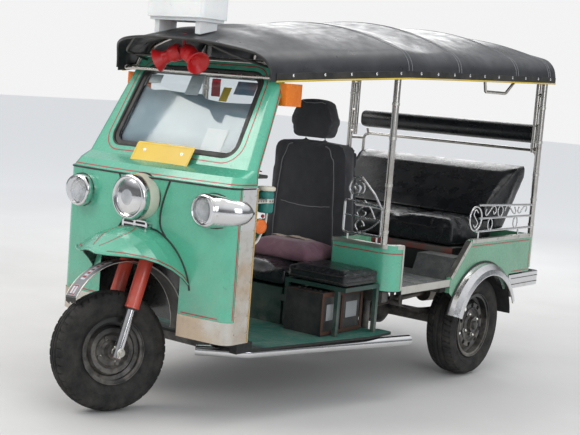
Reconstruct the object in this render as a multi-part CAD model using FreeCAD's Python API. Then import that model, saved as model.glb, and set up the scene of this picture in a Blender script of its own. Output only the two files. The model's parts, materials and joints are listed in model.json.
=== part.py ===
import FreeCAD, Part
import math
import os

# Auto rickshaw, three wheels: millimetres, +Z up, the front faces -Y, the vehicle's left is +X.
# The origin is on the floor under the middle of the vehicle's box.

V = FreeCAD.Vector
X_AXIS = V(1, 0, 0)
Y_AXIS = V(0, 1, 0)
Z_AXIS = V(0, 0, 1)

# Running gear
REAR_AXLE_Y = 786
WHEELBASE = 2012
REAR_WHEEL_X = 575
REAR_TYRE_R = 267
REAR_TYRE_W = 155
REAR_RIM_R = 168
FRONT_TYRE_R = 260
FRONT_TYRE_W = 116
FRONT_RIM_R = 144
FRONT_HUB_Y = REAR_AXLE_Y - WHEELBASE - 4
FRONT_HUB_Z = 260.4
FLANGE_HEIGHT = 15
BEAD_RISE = 4
CROWN_SHARE = 0.45
TYRE_FACETS = 64
RUNNING_GAP = 0.3
SEAT_GAP = 0.3

# Steering
RAKE = 19.5
FORK_OFFSET = 70
REST_STEER = -20.5
LEG_X = 94
LEG_R = 21
SLEEVE_R = 31
SLEEVE_LOW = 195
SLEEVE_TOP = 436
YOKE_THICK = 24
STEM_R = 16
HEAD_TUBE_WALL = 9
HEAD_TUBE_LENGTH = 170
BAR_HEIGHT = 895
BAR_HALF = 300
BAR_SETBACK = 45
BAR_SWEEP = 130
BAR_R = 11
GRIP_R = 17
GRIP_LENGTH = 115
AXLE_PIN_R = 10

# Cab
SHEET = 4
CAB_HALF = 500
CAB_FRONT_Y = -1080
CAB_DOOR_Y = -940
CAB_LOW_Z = 357
BELT_Z = 1016
CAB_CORNER = 48
CAB_BULGE = 22
POD_HALF = 128
POD_DEPTH = 26
ARCH_HALF = 240
ARCH_SPRING_Z = 600
ARCH_TOP_Z = 752
WELL_REAR_Y = -872
CLAD_TOP_Z = 452
CLAD_THICK = 2
STRIP_FRONT_Y = -1036
GLASS_THICK = 5
SEAL_WIDTH = 30
SEAL_THICK = 26
GLASS_LOW_HALF = 381
GLASS_TOP_HALF = 365
GLASS_LOW = (-943, 1108)
GLASS_TOP = (-743, 1487)
GLASS_CORNER = 75
HEADER_Z = 1530

# Tub
TUB_HALF = 660
TUB_WALL = 25
TUB_FLOOR_Z = 530
TUB_FLOOR_THICK = 18
TUB_TOP_Z = 738
TUB_FRONT_Y = -90
TUB_REAR_Y = 1332
ENTRY_FRONT_Y = -4
SIDE_LOW_Z = 521
WING_INNER = 300
BUMPER_FRONT_Y = 1100
BUMPER_REAR_Y = 1477.4
RECESS_Y = 190
WING_CORNER = 82

# Driver's deck and underframe
DECK_Z = 325
DECK_THICK = 12
FRAME_HALF = 255
FRAME_RAIL = 50
NECK_Y = -846
NECK_R = 17
ENGINE_HALF = 190
ENGINE_FRONT_Y = -330
ENGINE_REAR_Y = 60
ENGINE_LOW_Z = 168
ENGINE_TOP_Z = 488
SEAT_BOX_HALF = 235
SEAT_BOX_FRONT_Y = -372
SEAT_BOX_REAR_Y = 80

# Posts and roof
POST_R = 16
POST_B = (590, -77.5)
POST_C = (640, TUB_REAR_Y + POST_R + SEAT_GAP)
ROOF_SHEET = 5
ROOF_RAIL_R = 11

# Soft parts
CUSHION_Z = 500
CUSHION_TOP = 596
SEAT_HALF = 250
BACK_FRONT_Y = 62
BACK_DEPTH = 105
BACK_TOP = 1180
BENCH_HALF = 560
BENCH_FRONT_Y = 632
BENCH_TOP = 808
BENCH_LOW = 672


def box(x0, x1, y0, y1, z0, z1):
    return Part.makeBox(x1 - x0, y1 - y0, z1 - z0, V(x0, y0, z0))


def rod(a, b, radius):
    return Part.makeCylinder(radius, (b - a).Length, a, b - a)


def both(shape):
    """A piece and its mirror image on the other side of the vehicle."""
    return [shape, shape.mirror(V(0, 0, 0), X_AXIS)]


def fuse(pieces):
    whole = pieces[0]
    if len(pieces) > 1:
        whole = whole.fuse(pieces[1:])
    return whole.removeSplitter()


def weld(pieces):
    """Join pieces one after another, for frames of many crossing tubes."""
    whole = pieces[0]
    for piece in pieces[1:]:
        whole = whole.fuse(piece)
    return whole


def rounded_edges(points, radii, closed):
    """Straight runs through the points, with a tangent arc of its own radius at each corner."""
    count = len(points)
    stops = []
    for i, point in enumerate(points):
        radius = radii[i]
        end = not closed and i in (0, count - 1)
        if end or radius <= 0:
            stops.append((point, None, point))
            continue
        before = (points[i - 1] - point).normalize()
        after = (points[(i + 1) % count] - point).normalize()
        half = before.getAngle(after) / 2
        middle = (before + after).normalize()
        centre = point + middle * (radius / math.sin(half))
        reach = radius / math.tan(half)
        stops.append((point + before * reach, centre - middle * radius, point + after * reach))
    edges = []
    for i, (start, bulge, stop) in enumerate(stops):
        if bulge is not None:
            edges.append(Part.Arc(start, bulge, stop).toShape())
        if closed or i < count - 1:
            following = stops[(i + 1) % count][0]
            if (following - stop).Length > 1e-6:
                edges.append(Part.LineSegment(stop, following).toShape())
    return edges


def tube(points, bend, radius):
    """A round bar or tube's outside along straight runs joined by bends of one radius."""
    edges = rounded_edges(points, [bend] * len(points), False)
    path = Part.Wire(edges)
    circle = Part.Wire(Part.makeCircle(radius, points[0], points[1] - points[0]))
    return path.makePipeShell([circle], True, False)


def plate(points, radii, depth):
    """A flat outline with rounded corners, given depth as a vector."""
    wire = Part.Wire(rounded_edges(points, radii, True))
    return Part.Face(wire).extrude(depth)


def arch_edges(half, foot, crown, skirt, shoulder, inset, put):
    """Half an arch outline each side: straight skirt, shoulder arc and a crown arc tangent to it.

    inset moves the line inward by a wall thickness; put(u, v) places a point of the outline."""
    a = half - shoulder
    b = foot + skirt - crown
    big = (a * a + b * b - shoulder * shoulder) / (-2 * (b + shoulder))
    cv = crown - big
    uu = a / (big - shoulder)
    vv = (b + big) / (big - shoulder)
    r = shoulder - inset
    knee = math.atan2(vv, uu)
    sv = foot + skirt

    def shoulder_point(angle, side):
        return put(side * (a + r * math.cos(angle)), sv + r * math.sin(angle))

    right = [put(half - inset, foot), shoulder_point(0, 1), shoulder_point(knee / 2, 1), shoulder_point(knee, 1)]
    left = [put(inset - half, foot), shoulder_point(0, -1), shoulder_point(knee / 2, -1), shoulder_point(knee, -1)]
    top = put(0, cv + big - inset)
    return [Part.LineSegment(right[0], right[1]).toShape(),
            Part.Arc(right[1], right[2], right[3]).toShape(),
            Part.Arc(right[3], top, left[3]).toShape(),
            Part.Arc(left[3], left[2], left[1]).toShape(),
            Part.LineSegment(left[1], left[0]).toShape()]


def arch_band(half, foot, crown, skirt, shoulder, wall, put):
    """A closed wire round a wall of one thickness that follows the arch outline."""
    outer = arch_edges(half, foot, crown, skirt, shoulder, 0, put)
    inner = arch_edges(half, foot, crown, skirt, shoulder, wall, put)
    ends = [Part.LineSegment(put(-half, foot), put(wall - half, foot)).toShape(),
            Part.LineSegment(put(half - wall, foot), put(half, foot)).toShape()]
    return Part.Wire(Part.__sortEdges__(outer + inner + ends))


def arch_full(half, foot, crown, skirt, shoulder, put):
    edges = arch_edges(half, foot, crown, skirt, shoulder, 0, put)
    edges.append(Part.LineSegment(put(-half, foot), put(half, foot)).toShape())
    return Part.Wire(Part.__sortEdges__(edges))


def at_y(y):
    return lambda u, v: V(u, y, v)


def turned(points, x_shift):
    """Revolve an outline of (across, radius) pairs about the axle line."""
    wire = Part.makePolygon([V(x_shift + w, 0, r) for w, r in points + points[:1]])
    return Part.Face(wire).revolve(V(0, 0, 0), X_AXIS, 360)


def faceted(points, segments):
    """Like turned, but with flat facets around the axle instead of round bands."""
    rings = []
    for i in range(segments):
        angle = 2 * math.pi * i / segments
        rings.append([V(w, r * math.sin(angle), -r * math.cos(angle)) for w, r in points])
    faces = []
    for near, far in zip(rings, rings[1:] + rings[:1]):
        for i in range(len(points)):
            corners = [near[i - 1], near[i], far[i], far[i - 1], near[i - 1]]
            faces.append(Part.Face(Part.makePolygon(corners)))
    shell = Part.makeShell(faces)
    shell.sewShape()
    solid = Part.makeSolid(shell.Shells[0])
    if solid.Volume < 0:
        solid.reverse()
    return solid


# Wheels, drawn about the X axis at the origin with the outside towards +X

def tyre(radius, width, rim_radius, tread_half, bead_half):
    """Road tyre in straight bands: bead, low wall, belly, shoulder and crown."""
    bead_r = rim_radius - FLANGE_HEIGHT + SEAT_GAP
    bead = bead_half - SEAT_GAP
    wall = radius - rim_radius
    half = [(bead, bead_r), (bead, rim_radius + BEAD_RISE), (width / 2 - 3, rim_radius + 0.3 * wall),
            (width / 2, rim_radius + 0.55 * wall), (tread_half + 5, radius - 0.09 * wall - 4),
            (tread_half * CROWN_SHARE, radius - 1)]
    return faceted(half + [(-x, r) for x, r in reversed(half)], TYRE_FACETS)


def rim(rim_radius, bead_half, disc_x, hub_r, hub_half, bore_r, slots, slot_radius, bolt_circle):
    """Pressed steel wheel: flanges, bead seats and well, a dished disc with holes, and its hub."""
    seat = rim_radius - FLANGE_HEIGHT
    t = 3
    well = seat - 16
    barrel = [(bead_half + 9, rim_radius), (bead_half + 9, rim_radius - t), (bead_half + t, rim_radius - t),
              (bead_half + t, seat - t), (28, seat - t), (20, well - t), (-20, well - t), (-28, seat - t),
              (-bead_half - t, seat - t), (-bead_half - t, rim_radius - t), (-bead_half - 9, rim_radius - t),
              (-bead_half - 9, rim_radius), (-bead_half, rim_radius), (-bead_half, seat), (-28, seat),
              (-20, well), (20, well), (28, seat), (bead_half, seat), (bead_half, rim_radius)]
    disc = [(disc_x, hub_r - 4), (disc_x, rim_radius * 0.45), (disc_x + 14, rim_radius * 0.55),
            (disc_x + 14, rim_radius * 0.68), (disc_x - 6, well - 4), (disc_x - 12, well - 1),
            (disc_x - 16, well - 1), (disc_x - 11, well - 6), (disc_x + 9, rim_radius * 0.66),
            (disc_x + 9, rim_radius * 0.57), (disc_x - 5, rim_radius * 0.45), (disc_x - 5, hub_r - 4)]
    hub = [(hub_half, bore_r), (hub_half, hub_r - 12), (disc_x + 12, hub_r - 10), (disc_x + 3, hub_r),
           (-hub_half, hub_r), (-hub_half, bore_r)]
    wheel = fuse([turned(barrel, 0), turned(disc, 0), turned(hub, 0)])
    cutters = []
    for i in range(slots):
        angle = 2 * math.pi * (i + 0.5) / slots
        centre = V(disc_x - 40, rim_radius * 0.62 * math.cos(angle), rim_radius * 0.62 * math.sin(angle))
        cutters.append(Part.makeCylinder(slot_radius, 80, centre, X_AXIS))
    for i in range(4):
        angle = math.pi / 2 * i + 0.4
        seat_point = V(disc_x + 1, bolt_circle * math.cos(angle), bolt_circle * math.sin(angle))
        wheel = wheel.fuse(Part.makeCylinder(8, 12, seat_point - X_AXIS * 2, X_AXIS))
    return wheel.cut(cutters) if cutters else wheel


# Steering group, drawn with the hub at the origin and the stem line upright

def fork_local():
    pieces = []
    for side in (-1, 1):
        pieces.append(rod(V(side * LEG_X, 0, -26), V(side * LEG_X, 0, SLEEVE_LOW + 30), LEG_R))
        pieces.append(rod(V(side * LEG_X, 0, SLEEVE_LOW), V(side * LEG_X, 0, SLEEVE_TOP), SLEEVE_R))
    pin_half = LEG_X + LEG_R + 8
    pieces.append(rod(V(-pin_half, 0, 0), V(pin_half, 0, 0), AXLE_PIN_R))
    corner = SLEEVE_R + 6
    wide = LEG_X + corner
    outline = [V(-wide, -corner, SLEEVE_TOP), V(wide, -corner, SLEEVE_TOP), V(wide, corner, SLEEVE_TOP),
               V(40, FORK_OFFSET + 34, SLEEVE_TOP), V(-40, FORK_OFFSET + 34, SLEEVE_TOP), V(-wide, corner, SLEEVE_TOP)]
    pieces.append(plate(outline, [30, 30, 20, 20, 20, 20], Z_AXIS * YOKE_THICK))
    pieces.append(rod(V(0, FORK_OFFSET, SLEEVE_TOP), V(0, FORK_OFFSET, BAR_HEIGHT - 22), STEM_R))
    return fuse(pieces)


def handlebar_local():
    """Bars set back behind the stem, so that they clear the windscreen seal at full lock."""
    base = BAR_HEIGHT - 22 + SEAT_GAP
    clamp = rod(V(0, FORK_OFFSET, base), V(0, FORK_OFFSET, BAR_HEIGHT + 24), 24)
    middle = FORK_OFFSET + BAR_SETBACK
    bars = []
    for side in (-1, 1):
        route = [V(0, middle, BAR_HEIGHT), V(side * 150, middle, BAR_HEIGHT + 8),
                 V(side * (BAR_HALF - 60), middle + BAR_SWEEP - 60, BAR_HEIGHT + 22),
                 V(side * BAR_HALF, middle + BAR_SWEEP + 55, BAR_HEIGHT + 10)]
        bars.append(tube(route, 45, BAR_R))
        tip = route[3]
        run = (route[2] - route[3]).normalize()
        bars.append(rod(tip - run * 2, tip + run * GRIP_LENGTH, GRIP_R))
    front = FORK_OFFSET - 22
    rear = middle + 24
    shroud = plate([V(-58, front, base), V(58, front, base), V(92, rear, base), V(-92, rear, base)],
                   [20, 20, 20, 20], Z_AXIS * 56)
    return fuse([clamp, shroud] + bars)


def wheel_guard_local():
    """Curved inner mudguard between the fork legs, in the wheel's plane, with its bracket to the yoke."""
    half = LEG_X - SLEEVE_R - 7
    thick = 3
    front = V(-half, -172, 236)
    top = V(-half, 46, 382)
    rear = V(-half, 328, 72)
    outer = Part.Arc(front, top, rear)
    centre = outer.toShape().Curve.Center
    inward = []
    for point in (front, top, rear):
        inward.append(point + (centre - point).normalize() * thick)
    inner = Part.Arc(inward[0], inward[1], inward[2])
    ends = [Part.LineSegment(front, inward[0]).toShape(), Part.LineSegment(rear, inward[2]).toShape()]
    wire = Part.Wire(Part.__sortEdges__([outer.toShape(), inner.toShape()] + ends))
    return Part.Face(wire).extrude(X_AXIS * 2 * half)


def place_local(shape):
    """Lean the upright fork group back by the rake and set its hub in place, straight ahead."""
    placed = shape.copy()
    placed.rotate(V(0, 0, 0), X_AXIS, -RAKE)
    placed.translate(V(0, FRONT_HUB_Y, FRONT_HUB_Z))
    return placed


def steer(shape):
    rake = math.radians(RAKE)
    axis = V(0, math.sin(rake), math.cos(rake))
    behind = V(0, math.cos(rake), -math.sin(rake))
    foot = V(0, FRONT_HUB_Y, FRONT_HUB_Z) + behind * FORK_OFFSET
    turned_shape = shape.copy()
    turned_shape.rotate(foot, axis, REST_STEER)
    return turned_shape


def steering_group():
    guard = wheel_guard_local()
    guard.translate(V(0, FRONT_HUB_Y, FRONT_HUB_Z))
    rake = math.radians(RAKE)
    stay_foot = V(0, FRONT_HUB_Y + 128, FRONT_HUB_Z + 372)
    stay_top = V(0, FRONT_HUB_Y + SLEEVE_TOP * math.sin(rake), FRONT_HUB_Z + SLEEVE_TOP * math.cos(rake))
    stay = rod(stay_foot, stay_top, 9).cut(place_local(fork_local()))
    guard = guard.fuse(stay)
    wheel = tyre(FRONT_TYRE_R, FRONT_TYRE_W, FRONT_RIM_R, 42, 44)
    front_rim = rim(FRONT_RIM_R, 44, 22, 46, 66, AXLE_PIN_R + RUNNING_GAP, 0, 0, 62)
    for shape in (wheel, front_rim):
        shape.translate(V(0, FRONT_HUB_Y, FRONT_HUB_Z))
    pieces = {"fork": place_local(fork_local()), "handlebar": place_local(handlebar_local()),
              "wheel_guard": guard, "front_tyre": wheel, "front_rim": front_rim}
    return {name: steer(shape) for name, shape in pieces.items()}


def rear_wheels():
    nodes = {}
    for side, name in ((1, "left"), (-1, "right")):
        rubber = tyre(REAR_TYRE_R, REAR_TYRE_W, REAR_RIM_R, 56, 58)
        steel = rim(REAR_RIM_R, 58, 34, 50, 66, STUB_R + RUNNING_GAP, 10, 13, 62)
        for shape, kind in ((rubber, "tyre"), (steel, "rim")):
            if side < 0:
                shape = shape.mirror(V(0, 0, 0), X_AXIS)
            shape.translate(V(side * REAR_WHEEL_X, REAR_AXLE_Y, REAR_TYRE_R))
            nodes["rear_%s_%s" % (kind, name)] = shape
    return nodes


# Underframe

def chassis_frame():
    pieces = []
    rail = FRAME_RAIL
    low = DECK_Z - DECK_THICK - SEAT_GAP - rail
    high = TUB_FLOOR_Z - TUB_FLOOR_THICK - SEAT_GAP - rail
    for x in (-FRAME_HALF - rail, FRAME_HALF):
        pieces.append(box(x, x + rail, -860, -20, low, low + rail))
        pieces.append(box(x, x + rail, -70, -20, low, high + rail))
        pieces.append(box(x, x + rail, -70, 1300, high, high + rail))
    for y in (-860, ENGINE_FRONT_Y - SEAT_GAP - rail, -70):
        pieces.append(box(-FRAME_HALF, FRAME_HALF, y, y + rail, low, low + rail))
    for y in (-70, 470, 1200):
        pieces.append(box(-600, 600, y, y + rail, high, high + rail))
    for side in (-1, 1):
        pieces.append(rod(V(side * 500, -45, low), V(side * 500, -45, high + 10), 18))
        pieces.append(box(min(side * 250, side * 540), max(side * 250, side * 540), -70, -20, low, low + 30))
    return pieces


def head_tube():
    rake = math.radians(RAKE)
    axis = V(0, math.sin(rake), math.cos(rake))
    behind = V(0, math.cos(rake), -math.sin(rake))
    foot = V(0, FRONT_HUB_Y, FRONT_HUB_Z) + behind * FORK_OFFSET
    low = foot + axis * (SLEEVE_TOP + YOKE_THICK + RUNNING_GAP)
    return low, axis


def chassis():
    low, axis = head_tube()
    outer = Part.makeCylinder(STEM_R + RUNNING_GAP + HEAD_TUBE_WALL, HEAD_TUBE_LENGTH, low, axis)
    bore = Part.makeCylinder(STEM_R + RUNNING_GAP, 2 * HEAD_TUBE_LENGTH, low - axis * 60, axis)
    pieces = chassis_frame()
    return fuse(pieces + neck_tubes(0) + [outer] + hanger_rails()).cut([bore, engine_room(SEAT_GAP), seat_box_room()])


def neck_tubes(grow):
    """Tubes that rise behind the wheel well and reach forward over it to the head tube."""
    low, axis = head_tube()
    top = low + axis * (HEAD_TUBE_LENGTH - 30)
    tubes = []
    for side in (-1, 1):
        knee = V(side * 120, NECK_Y, 752)
        tubes.append(rod(V(side * 280, NECK_Y, 290), knee, NECK_R + grow))
        tubes.append(rod(knee, top, NECK_R + grow))
        tubes.append(Part.makeSphere(NECK_R + grow, knee))
    return tubes


def engine_room(gap):
    return box(-ENGINE_HALF - gap, ENGINE_HALF + gap, ENGINE_FRONT_Y - gap, ENGINE_REAR_Y + gap, ENGINE_LOW_Z - gap,
               DECK_Z - DECK_THICK)


def seat_box_room():
    return box(-FRAME_HALF, FRAME_HALF, SEAT_BOX_FRONT_Y - 5, SEAT_BOX_REAR_Y + SEAT_GAP, DECK_Z, CUSHION_TOP)


AXLE_TUBE_R = 34
STUB_R = 20
AXLE_PROFILE = (
    # distance from the middle, radius
    (0, 96),
    (58, 90),
    (104, AXLE_TUBE_R),
    (REAR_WHEEL_X - 74, AXLE_TUBE_R),
    (REAR_WHEEL_X - 74, STUB_R),
    (REAR_WHEEL_X + 74, STUB_R),
)


def rear_axle():
    """Axle tube with its gear housing, pinion nose and the shaft forward to the engine."""
    half = [V(x, 0, r) for x, r in AXLE_PROFILE]
    mirror = [V(-p.x, 0, p.z) for p in reversed(half[1:])]
    outline = mirror + half + [V(half[-1].x, 0, 0), V(-half[-1].x, 0, 0)]
    tube_shape = Part.Face(Part.makePolygon(outline + outline[:1])).revolve(V(0, 0, 0), X_AXIS, 360)
    tube_shape.translate(V(0, REAR_AXLE_Y, REAR_TYRE_R))
    nose = Part.makeCone(72, 40, 200, V(0, REAR_AXLE_Y, REAR_TYRE_R), V(0, -1, 0.08))
    shaft = rod(V(0, REAR_AXLE_Y - 180, REAR_TYRE_R + 14), V(0, 50, 290), 24)
    engine = box(-ENGINE_HALF, ENGINE_HALF, 0, ENGINE_REAR_Y + SEAT_GAP, ENGINE_LOW_Z, ENGINE_TOP_Z)
    return fuse([tube_shape, nose, shaft]).cut(engine)


def leaf_springs():
    springs = []
    for side in (-1, 1):
        x = side * 410 - 25
        z = REAR_TYRE_R + AXLE_TUBE_R + SEAT_GAP
        leaves = []
        for i, reach in enumerate((430, 330, 230)):
            lift = 62 * (reach / 430) ** 2
            base = z + 8 * (2 - i)
            top = Part.Arc(V(x, REAR_AXLE_Y - reach, base + lift + 8), V(x, REAR_AXLE_Y, base + 8),
                           V(x, REAR_AXLE_Y + reach, base + lift + 8)).toShape()
            low = Part.Arc(V(x, REAR_AXLE_Y - reach, base + lift), V(x, REAR_AXLE_Y, base),
                           V(x, REAR_AXLE_Y + reach, base + lift)).toShape()
            ends = [Part.LineSegment(V(x, REAR_AXLE_Y + s * reach, base + lift),
                                     V(x, REAR_AXLE_Y + s * reach, base + lift + 8)).toShape() for s in (-1, 1)]
            wire = Part.Wire(Part.__sortEdges__([top, low] + ends))
            leaves.append(Part.Face(wire).extrude(X_AXIS * 50))
        for s in (-1, 1):
            y = REAR_AXLE_Y + s * 422
            leaves.append(rod(V(x - 4, y, z + 88), V(x + 54, y, z + 88), 15))
            leaves.append(box(x - 4, x + 2, y - 15, y + 15, z + 88, 452))
            leaves.append(box(x + 48, x + 54, y - 15, y + 15, z + 88, 452))
            leaves.append(box(x - 4, x + 54, y - 30, y + 30, 446, 452))
        springs.append(fuse(leaves))
    return Part.makeCompound(springs)


def hanger_rails():
    """Outer rails that the springs hang from, joined to the crossmembers."""
    return [box(x - 35, x + 35, 330, 1260, 452 + SEAT_GAP, 500) for x in (-410, 410)]


def engine_block():
    return box(-ENGINE_HALF, ENGINE_HALF, ENGINE_FRONT_Y, ENGINE_REAR_Y, ENGINE_LOW_Z, ENGINE_TOP_Z)


def exhaust():
    pipe = tube([V(150, ENGINE_REAR_Y + SEAT_GAP, 235), V(150, 180, 235), V(180, 420, 235), V(180, 520, 330), V(180, 1010, 350),
                 V(180, 1290, 340)], 60, 19)
    can = rod(V(180, 1010, 350), V(180, 1230, 342), 52)
    return fuse([pipe, can])


# Cab

def plan_edges(half, front, bulge, corner, rear, z):
    """The nose seen from above: two sides, two rounded corners and a bowed front."""
    k = corner * (1 - math.sqrt(0.5))
    left = [V(-half, rear, z), V(-half, front + corner, z), V(-half + k, front + k, z), V(-half + corner, front, z)]
    right = [V(-p.x, p.y, p.z) for p in left]
    return [Part.LineSegment(left[0], left[1]).toShape(),
            Part.Arc(left[1], left[2], left[3]).toShape(),
            Part.Arc(left[3], V(0, front - bulge, z), right[3]).toShape(),
            Part.Arc(right[3], right[2], right[1]).toShape(),
            Part.LineSegment(right[1], right[0]).toShape()]


def plan_wire(half, front, bulge, corner, rear, z):
    closing = Part.LineSegment(V(half, rear, z), V(-half, rear, z)).toShape()
    return Part.Wire(plan_edges(half, front, bulge, corner, rear, z) + [closing])


def plan_band(half, front, bulge, corner, rear, z, wall):
    """A closed wire round a wall that follows the plan and is open to the rear."""
    outer = plan_edges(half, front, bulge, corner, rear, z)
    inner = plan_edges(half - wall, front + wall * SLANT_SHARE, bulge, corner - wall / 2, rear, z)
    ends = [Part.LineSegment(V(-half, rear, z), V(wall - half, rear, z)).toShape(),
            Part.LineSegment(V(half - wall, rear, z), V(half, rear, z)).toShape()]
    return Part.Wire(Part.__sortEdges__(outer + inner + ends))


def cab_block(inset):
    """The nose's outline below the belt as a solid, moved inward by inset."""
    wire = plan_wire(CAB_HALF - inset, CAB_FRONT_Y + inset, CAB_BULGE, CAB_CORNER - inset / 2, CAB_DOOR_Y, CAB_LOW_Z)
    return Part.Face(wire).extrude(Z_AXIS * (BELT_Z - CAB_LOW_Z))


def pod_block(inset):
    """The raised middle of the nose between the two long seams."""
    front = CAB_FRONT_Y - CAB_BULGE - POD_DEPTH + inset
    foot_y = CAB_FRONT_Y + 12
    z = 640
    half = POD_HALF - inset
    arc = Part.Arc(V(-half, foot_y, z), V(0, front, z), V(half, foot_y, z)).toShape()
    line = Part.LineSegment(V(half, foot_y, z), V(-half, foot_y, z)).toShape()
    return Part.Face(Part.Wire([arc, line])).extrude(Z_AXIS * (BELT_Z - z))


def cab_nose():
    shell = fuse([cab_block(0), pod_block(0)])
    hollow = cab_block(SHEET).fuse(pod_block(SHEET))
    hollow.translate(V(0, 0.01, 0))
    room = box(-CAB_HALF + SHEET, CAB_HALF - SHEET, CAB_DOOR_Y - 20, CAB_DOOR_Y + 5, CAB_LOW_Z, BELT_Z)
    shell = shell.cut(hollow).cut(room)
    mouth_wire = arch_full(ARCH_HALF, CAB_LOW_Z - 60, ARCH_TOP_Z, ARCH_SPRING_Z - CAB_LOW_Z + 60, 120, at_y(-1300))
    mouth = Part.Face(mouth_wire).extrude(Y_AXIS * (WELL_REAR_Y + 1300))
    shell = shell.cut(mouth)
    skin = arch_band(ARCH_HALF + SHEET, CAB_LOW_Z, ARCH_TOP_Z + SHEET, ARCH_SPRING_Z - CAB_LOW_Z, 120 + SHEET,
                     SHEET, at_y(CAB_FRONT_Y - CAB_BULGE + SHEET + 4))
    well = Part.Face(skin).extrude(Y_AXIS * (WELL_REAR_Y - CAB_FRONT_Y + CAB_BULGE - SHEET - 4))
    back_wire = arch_full(ARCH_HALF + SHEET, CAB_LOW_Z, ARCH_TOP_Z + SHEET, ARCH_SPRING_Z - CAB_LOW_Z, 120 + SHEET,
                          at_y(WELL_REAR_Y))
    back = Part.Face(back_wire).extrude(Y_AXIS * SHEET)
    low, axis = head_tube()
    stem_hole = Part.makeCylinder(STEM_R + HEAD_TUBE_WALL + 22, 500, low - axis * 190, axis)
    return fuse([shell, well, back]).cut(stem_hole)


UPPER_ROWS = (
    # height, half width, front line, rear edge, corner radius, bulge
    (BELT_Z + SEAT_GAP, CAB_HALF, CAB_FRONT_Y + 8, CAB_DOOR_Y, 48, 30),
    (1054, 497, CAB_FRONT_Y + 36, CAB_DOOR_Y, 60, 30),
    (1084, 494, -977, CAB_DOOR_Y + 10, 38, 14),
    (1470, 436, -773, -728, 34, 6),
    (HEADER_Z, 425, -741, -700, 30, 6),
)


SLANT_SHARE = 1.3
UPPER_WALL = 8


def upper_solid(grow):
    """The cab's upper part as a filled solid, grown all round."""
    rows = []
    for z, half, front, rear, corner, bulge in UPPER_ROWS:
        rows.append(plan_wire(half + grow, front - grow * SLANT_SHARE, bulge, corner + grow / 2, rear + grow, z))
    return Part.makeLoft(rows, True, True)


def glass_frame():
    """The middle of the windscreen, its width, height and outward directions."""
    low = V(0, GLASS_LOW[0], GLASS_LOW[1])
    top = V(0, GLASS_TOP[0], GLASS_TOP[1])
    up = (top - low).normalize()
    out = up.cross(X_AXIS)
    if out.y > 0:
        out = out * -1
    return low, top, up, out


def glass_outline(grow, lift):
    low, top, up, out = glass_frame()
    low = low - up * grow + out * lift
    top = top + up * grow + out * lift
    return [low - X_AXIS * (GLASS_LOW_HALF + grow), low + X_AXIS * (GLASS_LOW_HALF + grow),
            top + X_AXIS * (GLASS_TOP_HALF + grow), top - X_AXIS * (GLASS_TOP_HALF + grow)]


def screen_block(grow, start, depth):
    low, top, up, out = glass_frame()
    return plate(glass_outline(grow, start), [GLASS_CORNER + grow] * 4, out * depth)


def cab_upper():
    """Cowl, windscreen frame and header: one sheet shell, open to the rear, above and below."""
    rows = []
    for z, half, front, rear, corner, bulge in UPPER_ROWS:
        rows.append(plan_band(half, front, bulge, corner, rear, z, UPPER_WALL))
    return Part.makeLoft(rows, True, True).cut(screen_block(SEAT_GAP, -90, 160))


def windscreen_seal():
    ring = screen_block(0, -SEAL_THICK / 2, SEAL_THICK)
    return ring.cut(screen_block(-SEAL_WIDTH, -SEAL_THICK, SEAL_THICK * 2))


def windscreen_glass():
    return screen_block(-SEAL_WIDTH - SEAT_GAP, -GLASS_THICK / 2, GLASS_THICK)


FENDER_ROWS = (
    # distance ahead of the nose's plane, half width, lip height, crown height
    (0, 292, 562, 800),
    (50, 284, 612, 800),
    (100, 268, 648, 796),
    (150, 238, 676, 786),
    (200, 200, 693, 769),
    (250, 155, 699, 744),
    (300, 98, 700, 720),
    (330, 40, 702, 711),
)


def front_fender():
    """Eyebrow mudguard on the nose: arches that narrow and flatten towards the front lip."""
    wires = []
    for ahead, half, lip, crown in FENDER_ROWS:
        y = CAB_FRONT_Y + 4 - ahead
        wires.append(crescent(half, lip, crown, y, 3))
    shell = Part.makeLoft(wires, True, True)
    return shell.cut(cab_block(-SEAT_GAP)).cut(pod_block(-SEAT_GAP))


def fender_block(grow):
    """The mudguard's outside as a solid, from its crown down to the line between its lips."""
    wires = []
    for ahead, half, lip, crown in FENDER_ROWS:
        y = CAB_FRONT_Y + 4 - ahead
        a = V(-half - grow, y, lip)
        b = V(half + grow, y, lip)
        wires.append(Part.Wire([Part.Arc(a, V(0, y, crown + grow), b).toShape(), Part.LineSegment(b, a).toShape()]))
    return Part.makeLoft(wires, True, True)


def crescent(half, lip, crown, y, wall):
    """An arched sheet's cross-section: outer arc, inner arc and two lips."""
    outer = Part.Arc(V(-half, y, lip), V(0, y, crown), V(half, y, lip)).toShape()
    inner = Part.Arc(V(-half + wall, y, lip), V(0, y, crown - wall), V(half - wall, y, lip)).toShape()
    ends = [Part.LineSegment(V(-half, y, lip), V(-half + wall, y, lip)).toShape(),
            Part.LineSegment(V(half, y, lip), V(half - wall, y, lip)).toShape()]
    return Part.Wire(Part.__sortEdges__([outer, inner] + ends))


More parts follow.
